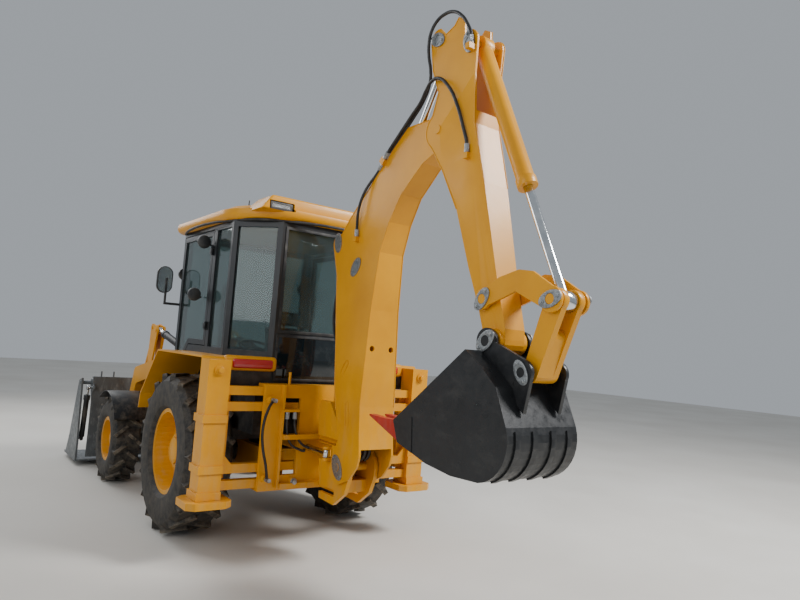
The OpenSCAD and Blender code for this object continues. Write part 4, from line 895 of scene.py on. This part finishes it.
class BACKHOE_OT_cab(bpy.types.Operator):
    """Fit the cab's seals, lamps, moulded roof, mirrors and aerial"""
    bl_idname = "backhoe.cab"
    bl_label = "Cab trim and lamps"

    def roof(self):
        """The moulded roof: a thick rim that flares out, a crown, and a hump that holds the rear lamps."""
        nothing_selected()
        # The plan's middle along the machine, and the height of the roof's underside
        middle, under = 37, 2802
        plan = [(-CAB_X, 925), (-CAB_X, -430), (-458, -856), (458, -856), (CAB_X, -430), (CAB_X, 925)]
        bpy.ops.mesh.primitive_circle_add(vertices=len(plan), radius=1, fill_type="NGON")
        shell = bpy.context.object
        for v, (x, y) in zip(shell.data.vertices, plan):
            v.co = at(x * 1.05, (y - middle) * 1.04 + middle, under)
        with Editing(shell, lambda v: True, "VERT"):
            bpy.ops.mesh.bevel(offset=0.12, segments=6, affect="VERTICES")
            bpy.ops.mesh.select_mode(type="FACE")
            bpy.ops.mesh.select_all(action="SELECT")
            centre = at(0, middle, under)
            # Each ring of the roof: its rise, and its growth over the ring below
            for rise, grow in ((0.018, 1.026), (0.030, 1.012), (0.042, 0.992), (0.012, 0.955), (0.018, 0.955),
                               (0.024, 0.950), (0.012, 0.90)):
                bpy.ops.mesh.extrude_region_move(TRANSFORM_OT_translate={"value": (0, 0, rise)})
                bpy.ops.transform.resize(value=(grow, grow, 1), center_override=centre)
            face_outwards()
        hump = block(at(-712, -892, 2868), at(712, -430, 2998), 0)
        with Editing(hump, lambda f: f.normal.z > 0.9):
            bpy.ops.transform.resize(value=(0.86, 0.62, 1), center_override=at(0, -860, 2998))
        rounded(hump, 0.016, 4)
        for side in (-1, 1):
            x0, x1 = sorted((side * 405, side * 640))
            cut = block(at(x0, -960, 2874), at(x1, -800, 2950), 0.006)
            modify(hump, "BOOLEAN", operation="DIFFERENCE", object=cut, solver="EXACT")
            modify(shell, "BOOLEAN", operation="DIFFERENCE", object=cut, solver="EXACT")
            bpy.data.objects.remove(cut, do_unlink=True)
        roof = dressed(joined([shell, hump]), "roof_shell", "yellow", "chassis", 38)
        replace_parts(roof, "cab_roof")
        bowls, lenses, rims = [], [], []
        for side in (-1, 1):
            x0, x1 = sorted((side * 432, side * 612))
            bowl = block(at(x0, -866, 2882), at(x1, -806, 2942), 0.004)
            with Editing(bowl, lambda f: f.normal.y < -0.9 and f.area > 0.003):
                bpy.ops.mesh.inset(thickness=0.006)
                bpy.ops.mesh.extrude_region_move(TRANSFORM_OT_translate={"value": (0, 0.040, 0)})
                bpy.ops.transform.resize(value=(0.7, 1, 0.5))
            bowls.append(bowl)
            lenses.append(block(at(x0 + 5, -871, 2887), at(x1 - 5, -866.4, 2937), 0.0015))
            rims.append(open_frame(at(x0 - 14, -866.2, 2876), at(x1 + 14, 0, 2948), 0.020, 0.008, 0.002))
        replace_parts(dressed(joined(bowls), "roof_lamp_bowls", "reflector", "chassis"), "work_lamps")
        dressed(joined(lenses), "roof_lamp_lenses", "clear_lens", "chassis")
        dressed(joined(rims), "roof_lamp_rims", "plastic", "chassis")
        rim = [(-700, 930), (-CAB_X, 820), *plan[1:5], (CAB_X, 820), (700, 930), (-700, 930)]
        band = tube([at(x, y, 2797) for x, y in rim], 0.012, 8)
        dressed(band, "roof_seal", "seal", "chassis", 60)

    def execute(self, context):
        back = at(0, -855.5, 0).y
        seal = open_frame((-0.452, back - OFF_FACE, 1.828), (0.452, 0, 2.752), 0.026, 0.007)
        dressed(seal, "rear_window_seal", "seal", "chassis")
        pane = block((-0.445, back - 0.0075, 1.432), (0.445, back - 0.0015, 1.800), 0.002)
        dressed(pane, "lower_rear_pane", "dark_glass", "chassis")
        seal = open_frame((-0.460, back - 0.0012, 1.418), (0.460, 0, 1.814), 0.022, 0.010)
        dressed(seal, "lower_pane_seal", "seal", "chassis")
        tails, lenses = [], []
        for side in (-1, 1):
            x0, x1 = sorted((side * 0.436, side * 0.903))
            tails.append(block((x0, at(0, -884, 0).y, 1.492), (x1, at(0, -800, 0).y, 1.616), 0.034, 5))
            x0, x1 = sorted((side * 0.478, side * 0.842))
            lens = block((x0, at(0, -897, 0).y, 1.512), (x1, at(0, -852, 0).y, 1.592), 0.022, 6)
            inset_faces(lens, lambda f: f.normal.y < -0.9 and f.area > 0.005, 0.006, (0, -0.004, 0))
            lenses.append(lens)
        dressed(joined(tails), "wing_tails", "yellow", "chassis", 50)
        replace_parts(dressed(joined(lenses), "tail_lamp_lenses", "red_lens", "chassis", 50), "tail_lamps")
        self.roof()
        glasses = []
        for side in (-1, 1):
            nothing_selected()
            bpy.ops.mesh.primitive_circle_add(vertices=40, radius=0.070, fill_type="NGON")
            glass = bpy.context.object
            with Editing(glass, lambda v: v.co.y > 0.001, "VERT"):
                bpy.ops.transform.translate(value=(0, 0.120, 0))
            with Editing(glass, lambda f: True):
                bpy.ops.mesh.extrude_region_move(TRANSFORM_OT_translate={"value": (0, 0, 0.003)})
                bpy.ops.mesh.inset(thickness=0.004)
                face_outwards()
            glass.data.transform(facing(at(side * 905, 944.7, 2250), (0, -1, 0)))
            glasses.append(glass)
        dressed(joined(glasses), "mirror_glasses", "mirror", "chassis")
        for side, door in ((-1, "left_door"), (1, "right_door")):
            rounds = []
            for y, z in ((7.5, 2630), (147.5, 2140)):
                shell = turned_part(0.062, 0.034, 40, 0.012, 0.010, 0.008)
                inset_faces(shell, lambda f: f.normal.z > 0.9 and f.area > 0.003, 0.016, (0, 0, 0.006))
                shell.data.transform(facing(at(side * 858, y + 16, z), (0, -1, 0)))
                arm = tube([at(side * 776, y + 30, z - 20), at(side * 815, y + 34, z - 16),
                            at(side * 857, y + 20, z)], 0.009, 8)
                rounds += [shell, arm]
            dressed(joined(rounds), door + "_round_mirrors", "plastic", door)
        aerial = turned_part(0.016, 0.030, 20, 0.006, 0.004, 0.002)
        whip = tube([Vector((0, 0, 0.03)), Vector((0, 0, 0.07)), Vector((0.001, 0, 0.11))], 0.006, 8)
        aerial = joined([aerial, whip])
        aerial.data.transform(Matrix.Translation((-0.56, -0.42, 2.935)))
        dressed(aerial, "aerial", "plastic", "chassis")
        return {"FINISHED"}


class BACKHOE_OT_seat(bpy.types.Operator):
    """Sew the driver's seat: a crowned cushion, a backrest with bolsters and a headrest on their pan"""
    bl_idname = "backhoe.seat"
    bl_label = "Driver's seat"

    def cushion(self, size, crown):
        """A padded block at the origin, crowned on both faces and pulled in along its sides."""
        nothing_selected()
        bpy.ops.mesh.primitive_cube_add(size=1)
        obj = bpy.context.object
        obj.scale = size
        settled(obj)
        with Editing(obj, lambda f: True):
            bpy.ops.mesh.subdivide(number_cuts=7)
        a, b, c = (s / 2 for s in size)
        for v in obj.data.vertices:
            u, w, h = v.co.x / a, v.co.y / b, v.co.z / c
            swell = (1 - u ** 4) * (1 - w ** 4)
            v.co.z += crown * swell * h - 0.3 * crown * (1 - swell) * h
            v.co.x -= 0.35 * crown * u * (1 - w * w) * (1 - abs(h) * 0.5)
            v.co.y -= 0.35 * crown * w * (1 - u * u) * (1 - abs(h) * 0.5)
            # Two sewn channels run from front to back
            v.co.z -= 0.5 * crown * h * math.exp(-((abs(u) - 0.55) / 0.07) ** 2) * (1 - w ** 6)
        rounded(obj, 0.018, 3, angle_limit=math.radians(50))
        return modify(obj, "SUBSURF", levels=2, render_levels=2)

    def execute(self, context):
        base = self.cushion((0.46, 0.48, 0.115), 0.016)
        base.data.transform(Matrix.Translation(at(0, 35, 1318)))
        dressed(base, "seat_cushion", "vinyl_grey", "chassis", 60)
        lean = Matrix.Rotation(math.radians(82), 4, "X")
        back = self.cushion((0.44, 0.50, 0.095), 0.014)
        back.data.transform(Matrix.Translation(at(0, -172, 1640)) @ lean)
        dressed(back, "seat_backrest", "vinyl_grey", "chassis", 60)
        head = self.cushion((0.26, 0.13, 0.085), 0.010)
        head.data.transform(Matrix.Translation(at(0, -208, 1975)) @ lean)
        dressed(head, "seat_headrest", "vinyl", "chassis", 60)
        pan = block(at(-215, -190, 1225), at(215, 270, 1258), 0.010, 3)
        foot = block(at(-150, -110, 905), at(150, 200, 1225), 0.020, 3)
        inset_faces(foot, lambda f: f.normal.y > 0.9 and f.area > 0.01, 0.030, (0, -0.012, 0))
        stays = [tube([at(x, -150, 1250), at(x, -205, 1400), at(x, -225, 1700), at(x, -245, 1940)], 0.012, 8)
                 for x in (-90, 90)]
        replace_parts(dressed(joined([pan, foot] + stays), "seat_frame", "plastic", "chassis"), "seat")
        return {"FINISHED"}


# Panel and registration

STEPS = ("backhoe.stage", "backhoe.finishes", "backhoe.hoses", "backhoe.welds", "backhoe.pins", "backhoe.cab",
         "backhoe.seat")


class BACKHOE_PT_panel(bpy.types.Panel):
    """Lists the settings and the steps of the finish"""
    bl_idname = "BACKHOE_PT_panel"
    bl_label = "Backhoe loader"
    bl_space_type = "VIEW_3D"
    bl_region_type = "UI"
    bl_category = "Backhoe"

    def draw(self, context):
        for key in BackhoeFinish.__annotations__:
            self.layout.prop(context.scene.backhoe_finish, key)
        for step in STEPS:
            self.layout.operator(step)


CLASSES = (BackhoeFinish, BACKHOE_OT_stage, BACKHOE_OT_finishes, BACKHOE_OT_hoses, BACKHOE_OT_welds,
           BACKHOE_OT_pins, BACKHOE_OT_cab, BACKHOE_OT_seat, BACKHOE_PT_panel)


def register():
    for cls in CLASSES:
        bpy.utils.register_class(cls)
    bpy.types.Scene.backhoe_finish = bpy.props.PointerProperty(type=BackhoeFinish)


def unregister():
    del bpy.types.Scene.backhoe_finish
    for cls in reversed(CLASSES):
        bpy.utils.unregister_class(cls)


def main():
    register()
    for step in STEPS:
        group, name = step.split(".")
        if getattr(getattr(bpy.ops, group), name)() != {"FINISHED"}:
            raise RuntimeError(step + " did not finish")


if __name__ == "__main__":
    main()
